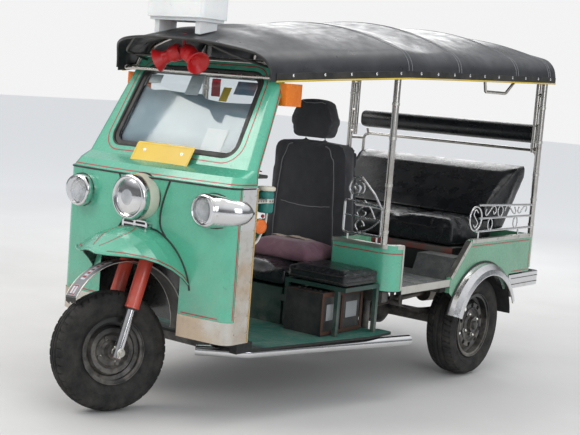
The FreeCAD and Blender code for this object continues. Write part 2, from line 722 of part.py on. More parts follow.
def cab_cladding():
    """Bare steel sheet round the nose's foot, with an upright strip at each door edge."""
    grow = CLAD_THICK + SEAT_GAP
    outer = plan_wire(CAB_HALF + grow, CAB_FRONT_Y - grow, CAB_BULGE, CAB_CORNER, CAB_DOOR_Y, CAB_LOW_Z)
    skirt = Part.Face(outer).extrude(Z_AXIS * (CLAD_TOP_Z - CAB_LOW_Z)).cut(cab_block(-SEAT_GAP))
    pieces = [skirt]
    for side in (-1, 1):
        x = side * (CAB_HALF + SEAT_GAP)
        x0, x1 = sorted((x, x + side * CLAD_THICK))
        pieces.append(box(x0, x1, STRIP_FRONT_Y, CAB_DOOR_Y + 4, CAB_LOW_Z, BELT_Z))
        x0, x1 = sorted((x - side * 14, x + side * CLAD_THICK))
        pieces.append(box(x0, x1, CAB_DOOR_Y + SEAT_GAP, CAB_DOOR_Y + 4, CAB_LOW_Z, BELT_Z))
    gap = box(-ARCH_HALF, ARCH_HALF, -1300, WELL_REAR_Y, CAB_LOW_Z - 5, CLAD_TOP_Z + 5)
    return fuse(pieces).cut(gap)


def headlamp():
    centre = V(0, CAB_FRONT_Y - 99, 924)
    barrel = Part.makeCylinder(98, 88, centre + V(0, 8, 0), Y_AXIS)
    ring = Part.makeCone(88, 96, 14, centre - V(0, 6, 0), Y_AXIS)
    lens = Part.makeSphere(190, centre + V(0, 166, 0)).common(Part.makeCylinder(82, 30, centre - V(0, 26, 0), Y_AXIS))
    lamp = fuse([barrel, ring, lens])
    return lamp.cut([cab_block(-SEAT_GAP), pod_block(-SEAT_GAP), upper_solid(SEAT_GAP)])


LAMP_ROWS = (
    # distance behind the lens, outward shift, radius
    (0, 0, 66),
    (14, 2, 70),
    (50, 30, 70),
    (90, 75, 58),
    (120, 108, 40),
    (146, 134, 16),
)
LAMP_X = 377
LAMP_Z = 910
LAMP_FRONT_Y = CAB_FRONT_Y - 48


def side_lamps():
    """Torpedo lamps on the nose's corners: the lens looks ahead, the tail sweeps out round the corner."""
    rings = []
    for behind, shift, radius in LAMP_ROWS:
        rings.append(Part.Wire(Part.makeCircle(radius, V(LAMP_X + shift, LAMP_FRONT_Y + behind, LAMP_Z), Y_AXIS)))
    body = Part.makeLoft(rings, True, False)
    ball = Part.makeSphere(120, V(LAMP_X, LAMP_FRONT_Y + 106, LAMP_Z))
    lens = ball.common(Part.makeCylinder(52, 20, V(LAMP_X, LAMP_FRONT_Y - 15, LAMP_Z), Y_AXIS))
    lamp = fuse([body, lens]).cut([cab_block(-SEAT_GAP), cab_lining()])
    return Part.makeCompound(both(max(lamp.Solids, key=lambda s: s.Volume)))


def cab_lining():
    """Everything inside the cab's steel strips, which the lamps stop short of."""
    half = CAB_HALF + CLAD_THICK + 2 * SEAT_GAP
    return box(-half, half, STRIP_FRONT_Y - SEAT_GAP, CAB_DOOR_Y, 700, BELT_Z)


def grille_ornament():
    """Chrome moulding with two long slots under the middle lamp."""
    y = CAB_FRONT_Y - CAB_BULGE - POD_DEPTH - 16
    z = 806
    face = plate([V(-76, y, z - 20), V(76, y, z - 20), V(76, y, z + 20), V(-76, y, z + 20)], [19] * 4, Y_AXIS * 60)
    slots = []
    for row in (-10, 8):
        for x0, x1 in ((-64, -6), (6, 64)):
            slots.append(plate([V(x0, y - 5, z + row - 4), V(x1, y - 5, z + row - 4), V(x1, y - 5, z + row + 6),
                                V(x0, y - 5, z + row + 6)], [4.5] * 4, Y_AXIS * 17))
    return face.cut(slots).cut([pod_block(-SEAT_GAP), cab_block(-SEAT_GAP), fender_block(SEAT_GAP)])


def number_plate():
    """Blank plate on two brackets over the cowl, leaning with it."""
    tilt = math.radians(31)
    up = V(0, math.sin(tilt), math.cos(tilt))
    out = V(0, -math.cos(tilt), math.sin(tilt))
    middle = V(0, CAB_FRONT_Y + 67, 1086)
    a = X_AXIS * 170
    b = up * 75
    sheet = plate([middle - a - b, middle + a - b, middle + a + b, middle - a + b], [10] * 4, out * 2)
    arms = []
    for side in (-1, 1):
        root = middle + X_AXIS * (side * 110) - b * 0.3
        arms.append(rod(root, root - out * 70, 6))
    return fuse([sheet] + arms).cut(upper_solid(SEAT_GAP))


# Driver's place

def driver_deck():
    front = CAB_DOOR_Y + 5
    well = -905
    rear = -20
    half = CAB_HALF - 4
    outline = [V(-half, front, DECK_Z), V(-300, front, DECK_Z), V(-300, well, DECK_Z), V(300, well, DECK_Z),
               V(300, front, DECK_Z), V(half, front, DECK_Z),
               V(645, -215, DECK_Z), V(645, rear, DECK_Z), V(-645, rear, DECK_Z), V(-645, -215, DECK_Z)]
    deck = plate(outline, [0] * 6 + [60, 20, 20, 60], Z_AXIS * -DECK_THICK)
    hole = box(-ENGINE_HALF - 2, ENGINE_HALF + 2, ENGINE_FRONT_Y - 2, ENGINE_REAR_Y + 2, DECK_Z - 40, DECK_Z + 10)
    posts = box(-560, 560, -72, -18, DECK_Z - 40, DECK_Z + 10)
    feet = []
    for side in (-1, 1):
        x0, x1 = sorted((side * 460, side * (CAB_HALF - 1)))
        feet.append(box(x0, x1, -1000, -900, DECK_Z - DECK_THICK, CAB_LOW_Z - SEAT_GAP))
    return fuse([deck.cut([hole, posts] + neck_tubes(1))] + feet)


def seat_box():
    """Engine cover under the driver's seat, open below, with the jump seat's frame beside it."""
    half = SEAT_BOX_HALF
    foot = DECK_Z + SEAT_GAP
    outer = box(-half, half, SEAT_BOX_FRONT_Y, SEAT_BOX_REAR_Y, foot, CUSHION_Z)
    inner = box(-half + 3, half - 3, SEAT_BOX_FRONT_Y + 3, SEAT_BOX_REAR_Y - 3, foot - 5, CUSHION_Z - 3)
    cover = outer.cut(inner)
    x = SEAT_HALF + 2
    frame = [box(x, 600, y, y + 20, 536, 556) for y in (-376, -120)]
    frame += [box(580, 600, -376, -100, 536, 556), box(x, x + 20, -376, -100, 536, 556)]
    frame += [box(580, 600, -120, -100, foot, 540), box(540, 560, -376, -356, foot, 540)]
    for y in (-376, -120):
        frame += [box(x, x + 20, y, y + 20, foot, 540), box(half - 1, x + 1, y + 4, y + 16, 440, 470)]
    return fuse([cover] + frame)


def batteries():
    cases = []
    for y in (-430, -276):
        case = box(300, 520, y, y + 148, DECK_Z + 0.2, 520)
        cases.append(case.makeFillet(8, [e for e in case.Edges if abs(e.tangentAt(e.FirstParameter).z) > 0.9]))
    return Part.makeCompound(cases)


def jump_pad():
    pad = box(262, 604, -392, -106, 556 + SEAT_GAP, 624)
    return pad.makeFillet(18, [e for e in pad.Edges if abs(e.tangentAt(e.FirstParameter).z) > 0.9])


def soft_block(x0, x1, y0, y1, z0, z1, corner):
    block = box(x0, x1, y0, y1, z0, z1)
    return block.makeFillet(corner, block.Edges)


def driver_cushion():
    return soft_block(-SEAT_HALF, SEAT_HALF, -384, BACK_FRONT_Y - SEAT_GAP, CUSHION_Z + SEAT_GAP, CUSHION_TOP, 30)


def driver_back():
    """Tall bucket back, wider at the hips than at the shoulders."""
    y = BACK_FRONT_Y
    points = [V(-250, y, CUSHION_Z + SEAT_GAP), V(250, y, CUSHION_Z + SEAT_GAP), V(246, y, 700), V(208, y, BACK_TOP),
              V(-208, y, BACK_TOP), V(-246, y, 700)]
    back = plate(points, [20, 20, 60, 60, 60, 60], Y_AXIS * BACK_DEPTH)
    stays = [rod(V(x, y + 52, BACK_TOP - 10), V(x, y + 52, BACK_TOP + 20), 7) for x in (-60, 60)]
    return fuse([back] + stays)


def headrest():
    y = BACK_FRONT_Y - 4
    z = BACK_TOP + 10
    points = [V(-110, y, z), V(110, y, z), V(140, y, z + 95), V(95, y, z + 205), V(-95, y, z + 205), V(-140, y, z + 95)]
    rest = plate(points, [40, 40, 60, 60, 60, 60], Y_AXIS * 100)
    holes = [rod(V(x, BACK_FRONT_Y + 52, z - 5), V(x, BACK_FRONT_Y + 52, z + 11), 7 + SEAT_GAP) for x in (-60, 60)]
    return rest.cut(holes)


def loose_cushion():
    return soft_block(-150, 240, -210, BACK_FRONT_Y - 3, CUSHION_TOP + SEAT_GAP, CUSHION_TOP + 82, 32)


# Tub

def wing(side):
    """Front wall of the passengers' tub beside the driver, wrapped round to the entry."""
    x_in = WING_INNER
    outer = [V(x_in, TUB_FRONT_Y, SIDE_LOW_Z), V(TUB_HALF, TUB_FRONT_Y, SIDE_LOW_Z), V(TUB_HALF, ENTRY_FRONT_Y, SIDE_LOW_Z)]
    t = TUB_WALL
    inner = [V(TUB_HALF - t, ENTRY_FRONT_Y, SIDE_LOW_Z), V(TUB_HALF - t, TUB_FRONT_Y + t, SIDE_LOW_Z),
             V(x_in + t, TUB_FRONT_Y + t, SIDE_LOW_Z)]
    back = [V(x_in + t, RECESS_Y, SIDE_LOW_Z), V(x_in, RECESS_Y, SIDE_LOW_Z)]
    radii = [10, WING_CORNER, 0, 0, WING_CORNER - TUB_WALL, 0, 0, 0]
    wall = plate(outer + inner + back, radii, Z_AXIS * (TUB_TOP_Z - SIDE_LOW_Z))
    return wall if side > 0 else wall.mirror(V(0, 0, 0), X_AXIS)


def tub_front():
    middle = box(-WING_INNER - TUB_WALL, WING_INNER + TUB_WALL, RECESS_Y, RECESS_Y + TUB_WALL, SIDE_LOW_Z, TUB_TOP_Z)
    return fuse([wing(1), wing(-1), middle])


def passenger_floor():
    t = TUB_FLOOR_THICK
    z = TUB_FLOOR_Z
    inner = TUB_HALF - TUB_WALL - SEAT_GAP
    front = TUB_FRONT_Y + TUB_WALL + SEAT_GAP
    rear = TUB_REAR_Y - TUB_WALL - SEAT_GAP
    deck = plate([V(-inner, front, z), V(inner, front, z), V(inner, rear, z), V(-inner, rear, z)],
                 [WING_CORNER - TUB_WALL - SEAT_GAP] * 2 + [0, 0], Z_AXIS * -t)
    seat_room = box(-WING_INNER - TUB_WALL - 0.3, WING_INNER + TUB_WALL + 0.3, TUB_FRONT_Y, RECESS_Y + TUB_WALL + 0.3,
                    z - t - 5, z + 5)
    sills = [box(min(s * inner, s * TUB_HALF), max(s * inner, s * TUB_HALF), ENTRY_FRONT_Y + SEAT_GAP, 461 - SEAT_GAP, z - t - 10, z + 6)
             for s in (-1, 1)]
    ramps = []
    for s in (-1, 1):
        x0, x1 = sorted((s * 420, s * inner))
        ramp = Part.Face(Part.makePolygon([V(x0, 470, z), V(x0, 520, z + 112), V(x0, 640, z + 112), V(x0, 640, z),
                                           V(x0, 470, z)])).extrude(X_AXIS * (x1 - x0))
        ramps.append(ramp)
    return fuse([deck.cut(seat_room)] + sills + ramps).cut(wheel_space())


def wheel_space():
    """Room for both rear wheels inside the tub."""
    radius = REAR_TYRE_R + 26
    spaces = [rod(V(s * (REAR_WHEEL_X - 100), REAR_AXLE_Y, REAR_TYRE_R), V(s * (TUB_HALF + 5), REAR_AXLE_Y, REAR_TYRE_R),
                  radius) for s in (-1, 1)]
    return Part.makeCompound(spaces)


def side_outline(x):
    """The rear side wall's outline: sloping front edge, level top, upright rear edge."""
    return [V(x, 461, 470), V(x, 461, 548), V(x, 644, 730), V(x, TUB_REAR_Y, 730), V(x, TUB_REAR_Y, SIDE_LOW_Z),
            V(x, BUMPER_FRONT_Y - 4, SIDE_LOW_Z), V(x, BUMPER_FRONT_Y - 36, 440), V(x, 500, 440)]


def side_walls():
    walls = []
    for side in (1, -1):
        x = side * TUB_HALF
        wall = plate(side_outline(x), [0, 40, 26, 0, 0, 0, 0, 0], X_AXIS * (-side * TUB_WALL))
        wall = wall.cut(rod(V(side * 560, REAR_AXLE_Y, REAR_TYRE_R - 10), V(side * 700, REAR_AXLE_Y, REAR_TYRE_R - 10), 318))
        walls.append(wall)
    return Part.makeCompound([max(w.Solids, key=lambda s: s.Volume) for w in walls])


def tail_panel():
    inner = TUB_HALF - TUB_WALL - SEAT_GAP
    return box(-inner, inner, TUB_REAR_Y - TUB_WALL, TUB_REAR_Y, SIDE_LOW_Z, 730)


def rear_fenders():
    """Steel arches over the rear wheels: a rounded band that stands out from the side wall."""
    pieces = []
    for side in (1, -1):
        wires = []
        for x, grow in ((TUB_HALF + SEAT_GAP, 60), (TUB_HALF + 34, 52), (TUB_HALF + 56, 26), (TUB_HALF + 60, 0)):
            radius = REAR_TYRE_R + 30 + grow
            wires.append(band(side * x, radius, 3.5))
        pieces.append(Part.makeLoft(wires, True, True))
    return Part.makeCompound(pieces)


def band(x, radius, wall):
    """Cross-section of the arch at one distance from the side wall, from its front foot to its rear foot."""
    centre = V(x, REAR_AXLE_Y + 6, REAR_TYRE_R - 16)
    first = math.radians(24)
    last = math.radians(162)

    def point(r, angle):
        return centre + V(0, r * math.cos(angle), r * math.sin(angle))
    outer = Part.Arc(point(radius, first), point(radius, (first + last) / 2), point(radius, last)).toShape()
    inner = Part.Arc(point(radius - wall, first), point(radius - wall, (first + last) / 2),
                     point(radius - wall, last)).toShape()
    ends = [Part.LineSegment(point(radius, a), point(radius - wall, a)).toShape() for a in (first, last)]
    return Part.Wire(Part.__sortEdges__([outer, inner] + ends))


def wheel_boxes():
    """Inner arches that close the tub over each rear wheel."""
    pieces = []
    for side in (1, -1):
        radius = REAR_TYRE_R + 30
        x0, x1 = sorted((side * 470, side * (TUB_HALF - TUB_WALL - SEAT_GAP)))
        outer = Part.makeCylinder(radius, x1 - x0, V(x0, REAR_AXLE_Y, REAR_TYRE_R), X_AXIS)
        inner = Part.makeCylinder(radius - 3, x1 - x0, V(x0, REAR_AXLE_Y, REAR_TYRE_R), X_AXIS)
        cheek = Part.makeCylinder(radius, 3, V(x0 if side > 0 else x1 - 3, REAR_AXLE_Y, REAR_TYRE_R), X_AXIS)
        arch = fuse([outer.cut(inner), cheek]).common(box(-700, 700, 0, 1300, TUB_FLOOR_Z + SEAT_GAP, 700))
        pieces.append(arch)
    return Part.makeCompound(pieces)


def bench_base():
    """Plywood box that carries the bench, open below, between the wheel arches."""
    outer = box(-BENCH_HALF + 12, BENCH_HALF - 12, BENCH_FRONT_Y + 26, TUB_REAR_Y - TUB_WALL - SEAT_GAP,
                TUB_FLOOR_Z + SEAT_GAP, BENCH_LOW)
    inner = box(-BENCH_HALF + 30, BENCH_HALF - 30, BENCH_FRONT_Y + 44, TUB_REAR_Y - TUB_WALL - 20,
                TUB_FLOOR_Z - 5, BENCH_LOW - 15)
    arches = Part.makeCompound([rod(V(s * 465, REAR_AXLE_Y, REAR_TYRE_R), V(s * 700, REAR_AXLE_Y, REAR_TYRE_R),
                                    REAR_TYRE_R + 31) for s in (-1, 1)])
    return outer.cut(inner).cut(arches)


def bench_cushion():
    return soft_block(-BENCH_HALF, BENCH_HALF, BENCH_FRONT_Y, 1085, BENCH_LOW + SEAT_GAP, BENCH_TOP, 34)


def bench_back():
    """Back of the bench: one profile the whole width, leaning back and rolled over at the top."""
    points = [V(-552, 960, BENCH_TOP + SEAT_GAP), V(-552, 1330, 1090), V(-552, 1420, 1112), V(-552, 1425, 1040),
              V(-552, 1200, 740), V(-552, 1090, 740), V(-552, 1087, BENCH_TOP + SEAT_GAP)]
    return plate(points, [14, 60, 26, 30, 10, 4, 4], X_AXIS * 1104)


def roll():
    return rod(V(-589, 1414, 1282), V(589, 1414, 1282), 60)


def roll_frame():
    """Bent tubes that carry the roll and stand up along the bench's back to the posts."""
    r = 9
    pieces = []
    low = tube([V(-590, 1432, 950), V(-590, 1432, 1190), V(590, 1432, 1190), V(590, 1432, 950)], 40, r)
    pieces.append(low)
    for side in (-1, 1):
        x = side * 560
        pieces.append(rod(V(x, 1432, 1180), V(x, 1418, 1224), 7))
        for z in (1010, 1160):
            pieces.append(rod(V(side * 590, 1432, z), V(side * POST_C[0], POST_C[1], z), 8))
    posts = both(rod(V(POST_C[0], POST_C[1], 900), V(POST_C[0], POST_C[1], 1300), POST_R + SEAT_GAP))
    return fuse(pieces).cut(posts + [roll_room()])


def roll_room():
    return rod(V(-600, 1414, 1282), V(600, 1414, 1282), 60 + SEAT_GAP)


# Roof

ROOF_FRONT_BAR_Y = -812
ROOF_ROWS = (
    # distance along the vehicle, half width, edge height, crown height
    (-1100, 455, 1438, 1608),
    (ROOF_FRONT_BAR_Y, 458, 1459, 1677),
    (-583, 545, 1482, 1708),
    (POST_B[1], 656, 1522, 1761),
    (367, 662, 1537, 1800),
    (967, 662, 1555, 1812),
    (POST_C[1], 662, 1567, 1798),
    (1440, 655, 1570, 1770),
)
ROOF_SKIRT = 34
ROOF_SHOULDER = 105
BOW_R = 9
HEADER_BAR_Y = -716
RAIL_INSET = 1.5
RAIL_RISE = 14
HANDLE_LOW_Z = 1493


def canopy():
    """Roof cover: arches along the vehicle, a peak over the windscreen and a closed rear end."""
    wires = []
    for y, half, edge, crown in ROOF_ROWS:
        wires.append(arch_band(half, edge, crown, ROOF_SKIRT, roof_shoulder(edge, crown), ROOF_SHEET, at_y(y)))
    sheet = Part.makeLoft(wires, True, True)
    y, half, edge, crown = ROOF_ROWS[-1]
    rear = Part.Face(arch_full(half, edge, crown, ROOF_SKIRT, roof_shoulder(edge, crown), at_y(y)))
    sheet = sheet.fuse(rear.extrude(Y_AXIS * ROOF_SHEET))
    return sheet.common(peak_cutter()).removeSplitter()


def roof_shoulder(edge, crown):
    return min(ROOF_SHOULDER, (crown - edge - ROOF_SKIRT) * 0.7)


def peak_cutter():
    """Plan of the roof: the front edge is an arc that runs back to both sides."""
    z = 1300
    front = Part.Arc(V(-470, -835, z), V(0, -1074, z), V(470, -835, z)).toShape()
    sides = Part.makePolygon([V(470, -835, z), V(700, -835, z), V(700, 1500, z), V(-700, 1500, z), V(-700, -835, z),
                              V(-470, -835, z)])
    return Part.Face(Part.Wire(Part.__sortEdges__([front] + sides.Edges))).extrude(Z_AXIS * 700)


def roof_edge(y):
    """Half width, edge height and crown of the roof at one place along the vehicle."""
    for first, second in zip(ROOF_ROWS, ROOF_ROWS[1:]):
        if first[0] <= y <= second[0]:
            share = (y - first[0]) / (second[0] - first[0])
            return [a + (b - a) * share for a, b in zip(first[1:], second[1:])]
    return list(ROOF_ROWS[-1][1:])


def roof_slope(y):
    """Steepest fall of the roof along the vehicle next to the row at y."""
    steepest = 0
    for first, second in zip(ROOF_ROWS, ROOF_ROWS[1:]):
        if y in (first[0], second[0]):
            falls = [abs(b - a) / (second[0] - first[0]) for a, b in zip(first[1:], second[1:])]
            steepest = max([steepest] + falls)
    return steepest


def roof_bow(y):
    half, edge, crown = roof_edge(y)
    drop = ROOF_SHEET + BOW_R + SEAT_GAP + BOW_R * roof_slope(y)
    edges = arch_edges(half, edge, crown, ROOF_SKIRT, roof_shoulder(edge, crown), drop, at_y(y))
    path = Part.Wire(Part.__sortEdges__(edges))
    circle = Part.Wire(Part.makeCircle(BOW_R, V(half - drop, y, edge), Z_AXIS))
    bow = path.makePipeShell([circle], True, False)
    return bow.common(box(-half, half, y - 50, y + 50, edge + RAIL_RISE, crown))


def roof_room(inset):
    """Everything under the roof cover, inset from its outside, down to well below its edges."""
    wires = []
    for y, half, edge, crown in ROOF_ROWS:
        shoulder = roof_shoulder(edge, crown)
        wires.append(arch_full(half - inset, edge - 400, crown - inset, ROOF_SKIRT + 400, shoulder - inset, at_y(y)))
    return Part.makeLoft(wires, True, True)


def roof_frame():
    """Posts, side rails, bows and grab handles: one welded frame."""
    drop = ROOF_SHEET + ROOF_RAIL_R + RAIL_INSET
    pieces = []
    stations = [row[0] for row in ROOF_ROWS[1:-1]]
    for side in (-1, 1):
        route = []
        for y in stations:
            half, edge, crown = roof_edge(y)
            route.append(V(side * (half - drop), y, edge + RAIL_RISE))
        pieces.append(tube(route, 30, ROOF_RAIL_R))
        half, edge, crown = roof_edge(POST_B[1])
        pieces.append(rod(V(side * POST_B[0], POST_B[1], TUB_TOP_Z + SEAT_GAP), V(side * POST_B[0], POST_B[1], edge + 108), POST_R))
        half, edge, crown = roof_edge(POST_C[1])
        pieces.append(rod(V(side * POST_C[0], POST_C[1], 540), V(side * POST_C[0], POST_C[1], edge + RAIL_RISE), POST_R))
        pieces.append(rod(V(side * (POST_C[0] - 36), POST_C[1] + 2, 1180), V(side * (POST_C[0] - 36), POST_C[1] + 2, edge + 30),
                          POST_R - 3))
        for z in (1200, 1330, 1500):
            pieces.append(rod(V(side * POST_C[0], POST_C[1], z), V(side * (POST_C[0] - 36), POST_C[1] + 2, z), 11))
        x = side * (half - drop)
        grip_x = x - side * 20
        pieces.append(tube([V(x, 648, roof_edge(648)[1] + RAIL_RISE), V(grip_x, 705, HANDLE_LOW_Z),
                            V(grip_x, 925, HANDLE_LOW_Z), V(x, 992, roof_edge(992)[1] + RAIL_RISE)], 22, 8))
    for y in stations[1:]:
        pieces.append(roof_bow(y))
    half, edge, crown = roof_edge(ROOF_FRONT_BAR_Y)
    pieces.append(rod(V(drop - half, ROOF_FRONT_BAR_Y, edge + RAIL_RISE), V(half - drop, ROOF_FRONT_BAR_Y, edge + RAIL_RISE), BOW_R))
    half, edge, crown = roof_edge(HEADER_BAR_Y)
    x = half - drop
    over = HEADER_Z + SEAT_GAP + BOW_R
    pieces.append(tube([V(-x, HEADER_BAR_Y, edge + RAIL_RISE), V(30 - x, HEADER_BAR_Y, over), V(x - 30, HEADER_BAR_Y, over),
                        V(x, HEADER_BAR_Y, edge + RAIL_RISE)], 15, BOW_R))
    return weld(pieces)


def visor_struts():
    pieces = []
    for side in (-1, 1):
        pieces.append(tube([V(side * 380, -725, 1512), V(side * 330, -930, 1548), V(side * 120, -1062, 1640)], 60, 6))
    pieces.append(rod(V(-347, -860, 1536), V(347, -860, 1536), 6))
    return fuse(pieces).cut(upper_solid(SEAT_GAP)).common(roof_room(ROOF_SHEET + SEAT_GAP))


def roof_sign():
    """Blank lamp box on a bracket at the front of the roof."""
    shell = box(-165, 165, -990, -810, 1704, 1884)
    shell = shell.makeFillet(22, [e for e in shell.Edges if abs(e.tangentAt(e.FirstParameter).z) > 0.9])
    tray = box(-150, 150, -975, -825, 1690, 1704)
    legs = [box(x - 14, x + 14, -960, -850, 1560, 1692) for x in (-120, 120)]
    return fuse([shell, tray] + legs).cut(roof_room(-SEAT_GAP))


HORN_X = 50
HORN_Y = -960
HORN_Z = 1560


def horns():
    """Pair of red trumpets side by side under the peak, mouths turned outward and down."""
    bells = []
    for side in (-1, 1):
        root = V(HORN_X + side * 18, HORN_Y, HORN_Z)
        aim = V(side * 0.86, -0.3, -0.42).normalize()
        rows = [(0, 0), (34, 0), (38, 14), (36, 44), (27, 60), (30, 84), (48, 112), (52, 118), (46, 118), (22, 96), (0, 92)]
        outline = Part.makePolygon([V(r, 0, s) for r, s in rows] + [V(0, 0, 0)])
        bell = Part.Face(outline).revolve(V(0, 0, 0), Z_AXIS, 360)
        bell.Placement = FreeCAD.Placement(root, FreeCAD.Rotation(Z_AXIS, aim))
        bells.append(bell)
    link = box(HORN_X - 26, HORN_X + 26, HORN_Y - 20, HORN_Y + 20, HORN_Z - 16, HORN_Z + 14)
    stem = rod(V(HORN_X, HORN_Y, HORN_Z), V(HORN_X, HORN_Y, HORN_Z + 140), 8)
    return fuse(bells + [link, stem]).common(roof_room(ROOF_SHEET + SEAT_GAP))


def marker_lamps():
    lamp = box(425, 475, -765, -655, 1358, 1455).cut(upper_solid(SEAT_GAP))
    return Part.makeCompound(both(lamp))


# Rails and small fittings

def bar_along(edges, radius):
    path = Part.Wire(edges)
    first = edges[0]
    start = first.valueAt(first.FirstParameter)
    tangent = first.tangentAt(first.FirstParameter)
    circle = Part.Wire(Part.makeCircle(radius, start, tangent))
    return path.makePipeShell([circle], True, False)


def frame_loop(points, bend, radius):
    edges = rounded_edges(points, [bend] * len(points), True)
    path = Part.Wire(edges)
    line = edges[-1]
    start = line.valueAt(line.FirstParameter)
    circle = Part.Wire(Part.makeCircle(radius, start, line.tangentAt(line.FirstParameter)))
    return path.makePipeShell([circle], True, False)


def front_rail():
    """Chrome scroll rail on the tub's front wall, in front of the passengers."""
    r = 6
    y = TUB_FRONT_Y + 12
    z0 = 772
    z1 = 930
    x0 = 352
    x1 = POST_B[0] - POST_R - SEAT_GAP - r
    loop = frame_loop([V(x0, y, z0), V(x1, y, z0), V(x1, y, z1 - 20), V(x0, y, z1)], 16, r)
    middle = rod(V(x0, y, 856), V(x1, y, 846), 4.5)
    feet = [rod(V(x, y, TUB_TOP_Z + 0.1), V(x, y, z0), 5) for x in (380, x1 - 20)]
    sweep = tube([V(x1 - 6, y, z1 - 24), V(520, y, z1 + 36), V(440, y, z1 + 112)], 40, r - 1)
    curl = [Part.Arc(V(440, y, z1 + 112), V(392, y, z1 + 100), V(372, y, z1 + 62)).toShape(),
            Part.Arc(V(372, y, z1 + 62), V(396, y, z1 + 28), V(430, y, z1 + 52)).toShape(),
            Part.Arc(V(430, y, z1 + 52), V(414, y, z1 + 74), V(398, y, z1 + 58)).toShape()]
    top_curl = bar_along(curl, r - 1)
    support = rod(V(386, y, z1 - 4), V(386, y, z1 + 36), 4.5)
    return fuse([loop, middle, sweep, top_curl, support] + feet)


def side_rail():
    """Chrome scroll rail on the tub's side wall, from the S ring back to the post."""
    r = 6
    x = TUB_HALF - 14
    y0 = 690
    y1 = POST_C[1] - POST_R - SEAT_GAP
    bars = [rod(V(x, y0 + 20, 908), V(x, y1, 892), r), rod(V(x, y0 + 34, 838), V(x, y1, 832), r),
            rod(V(x, y0 + 6, 770), V(x, y1, 768), r)]
    ring = Part.makeTorus(62, r - 1, V(x, y0, 838), X_AXIS)
    feet = [rod(V(x, y, 730.1), V(x, y, 772), 5) for y in (730, 1180)]
    return fuse(bars + [ring] + feet)


def scroll_rails():
    pieces = both(front_rail()) + both(side_rail())
    return Part.makeCompound(pieces)


def side_steps():
    """Chrome guard tubes along both sides, with bent front ends, on brackets from the deck."""
    route = [V(252, -978, 284), V(424, -840, 284), V(690, 60, 284)]
    step = tube(route, 130, 25)
    arms = [rod(V(440, -700, 290), V(380, -700, 330), 9), rod(V(600, -160, 290), V(540, -160, 330), 9)]
    deck = box(-700, 700, -1000, 0, DECK_Z - DECK_THICK - SEAT_GAP, DECK_Z + 40)
    return Part.makeCompound(both(fuse([step] + arms).cut(deck)))


def rear_bumper():
    """Ribbed chrome channel across the tail, with short returns along the sides."""
    z0 = 436
    z1 = 512
    x = TUB_HALF
    y0 = BUMPER_FRONT_Y
    y1 = BUMPER_REAR_Y
    outer = [V(-x, y0, z0), V(-x, y1, z0), V(x, y1, z0), V(x, y0, z0)]
    t = 20
    inner = [V(x - t, y0, z0), V(x - t, y1 - t, z0), V(-x + t, y1 - t, z0), V(-x + t, y0, z0)]
    bar = plate(outer + inner, [0, 40, 40, 0, 0, 22, 22, 0], Z_AXIS * (z1 - z0))
    arms = [box(s * 275 - 20, s * 275 + 20, 1300.3, y1 - t + 1, 455, 495) for s in (-1, 1)]
    return fuse([bar] + arms)


def tail_lamps():
    lamp = box(440, 560, TUB_REAR_Y + SEAT_GAP, TUB_REAR_Y + 34, 590, 660)
    lamp = lamp.makeFillet(12, [e for e in lamp.Edges if abs(e.tangentAt(e.FirstParameter).y) > 0.9])
    return Part.makeCompound(both(lamp))


def coolant_jar():
    """Jar in a strap behind the left steel strip, with the round reflector below it."""
    centre = V(462, -868, 0)
    jar = rod(centre + V(0, 0, 905), centre + V(0, 0, 1000), 34)
    lid = rod(centre + V(0, 0, 1000), centre + V(0, 0, 1016), 38)
    strip = CAB_DOOR_Y + 4 + SEAT_GAP
    strap = box(440, 498, strip, -890, 948, 966)
    disc = rod(V(494, -902, 850), V(502, -902, 850), 30)
    bracket = box(478, 498, strip, -900, 838, 862)
    return Part.makeCompound([fuse([jar, lid, strap]), fuse([disc, bracket])])


def build():
    nodes = {
        "chassis_frame": chassis(),
        "rear_axle": rear_axle(),
        "leaf_springs": leaf_springs(),
        "engine_block": engine_block(),
        "exhaust": exhaust(),
        "cab_nose": cab_nose(),
        "cab_upper": cab_upper(),
        "windscreen_seal": windscreen_seal(),
        "windscreen_glass": windscreen_glass(),
        "front_fender": front_fender(),
        "cab_cladding": cab_cladding(),
        "headlamp": headlamp(),
        "side_lamps": side_lamps(),
        "grille_ornament": grille_ornament(),
        "number_plate": number_plate(),
        "driver_deck": driver_deck(),
        "seat_box": seat_box(),
        "batteries": batteries(),
        "jump_pad": jump_pad(),
        "driver_cushion": driver_cushion(),
        "driver_back": driver_back(),
        "headrest": headrest(),
        "loose_cushion": loose_cushion(),
        "tub_front": tub_front(),
        "passenger_floor": passenger_floor(),
        "side_walls": side_walls(),
        "tail_panel": tail_panel(),
        "rear_fenders": rear_fenders(),
        "wheel_boxes": wheel_boxes(),
        "bench_base": bench_base(),
        "bench_cushion": bench_cushion(),
        "bench_back": bench_back(),
        "roll_frame": roll_frame(),
        "roll": roll(),
        "roof_frame": roof_frame(),
        "canopy": canopy(),
        "visor_struts": visor_struts(),
        "roof_sign": roof_sign(),
        "horns": horns(),
        "marker_lamps": marker_lamps(),
        "scroll_rails": scroll_rails(),
        "side_steps": side_steps(),
        "rear_bumper": rear_bumper(),
        "tail_lamps": tail_lamps(),
        "coolant_jar": coolant_jar(),
    }
    nodes.update(steering_group())
    nodes.update(rear_wheels())
    return nodes


def main():
    os.makedirs("parts", exist_ok=True)
    for name, shape in build().items():
        shape.exportStep("parts/%s.step" % name)


main()
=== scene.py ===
"""Looks of the auto rickshaw: metres, +Z up, the front faces -Y, the vehicle's left is +X."""
import json
import math

import bmesh
import bpy
from mathutils import Matrix, Vector, bvhtree


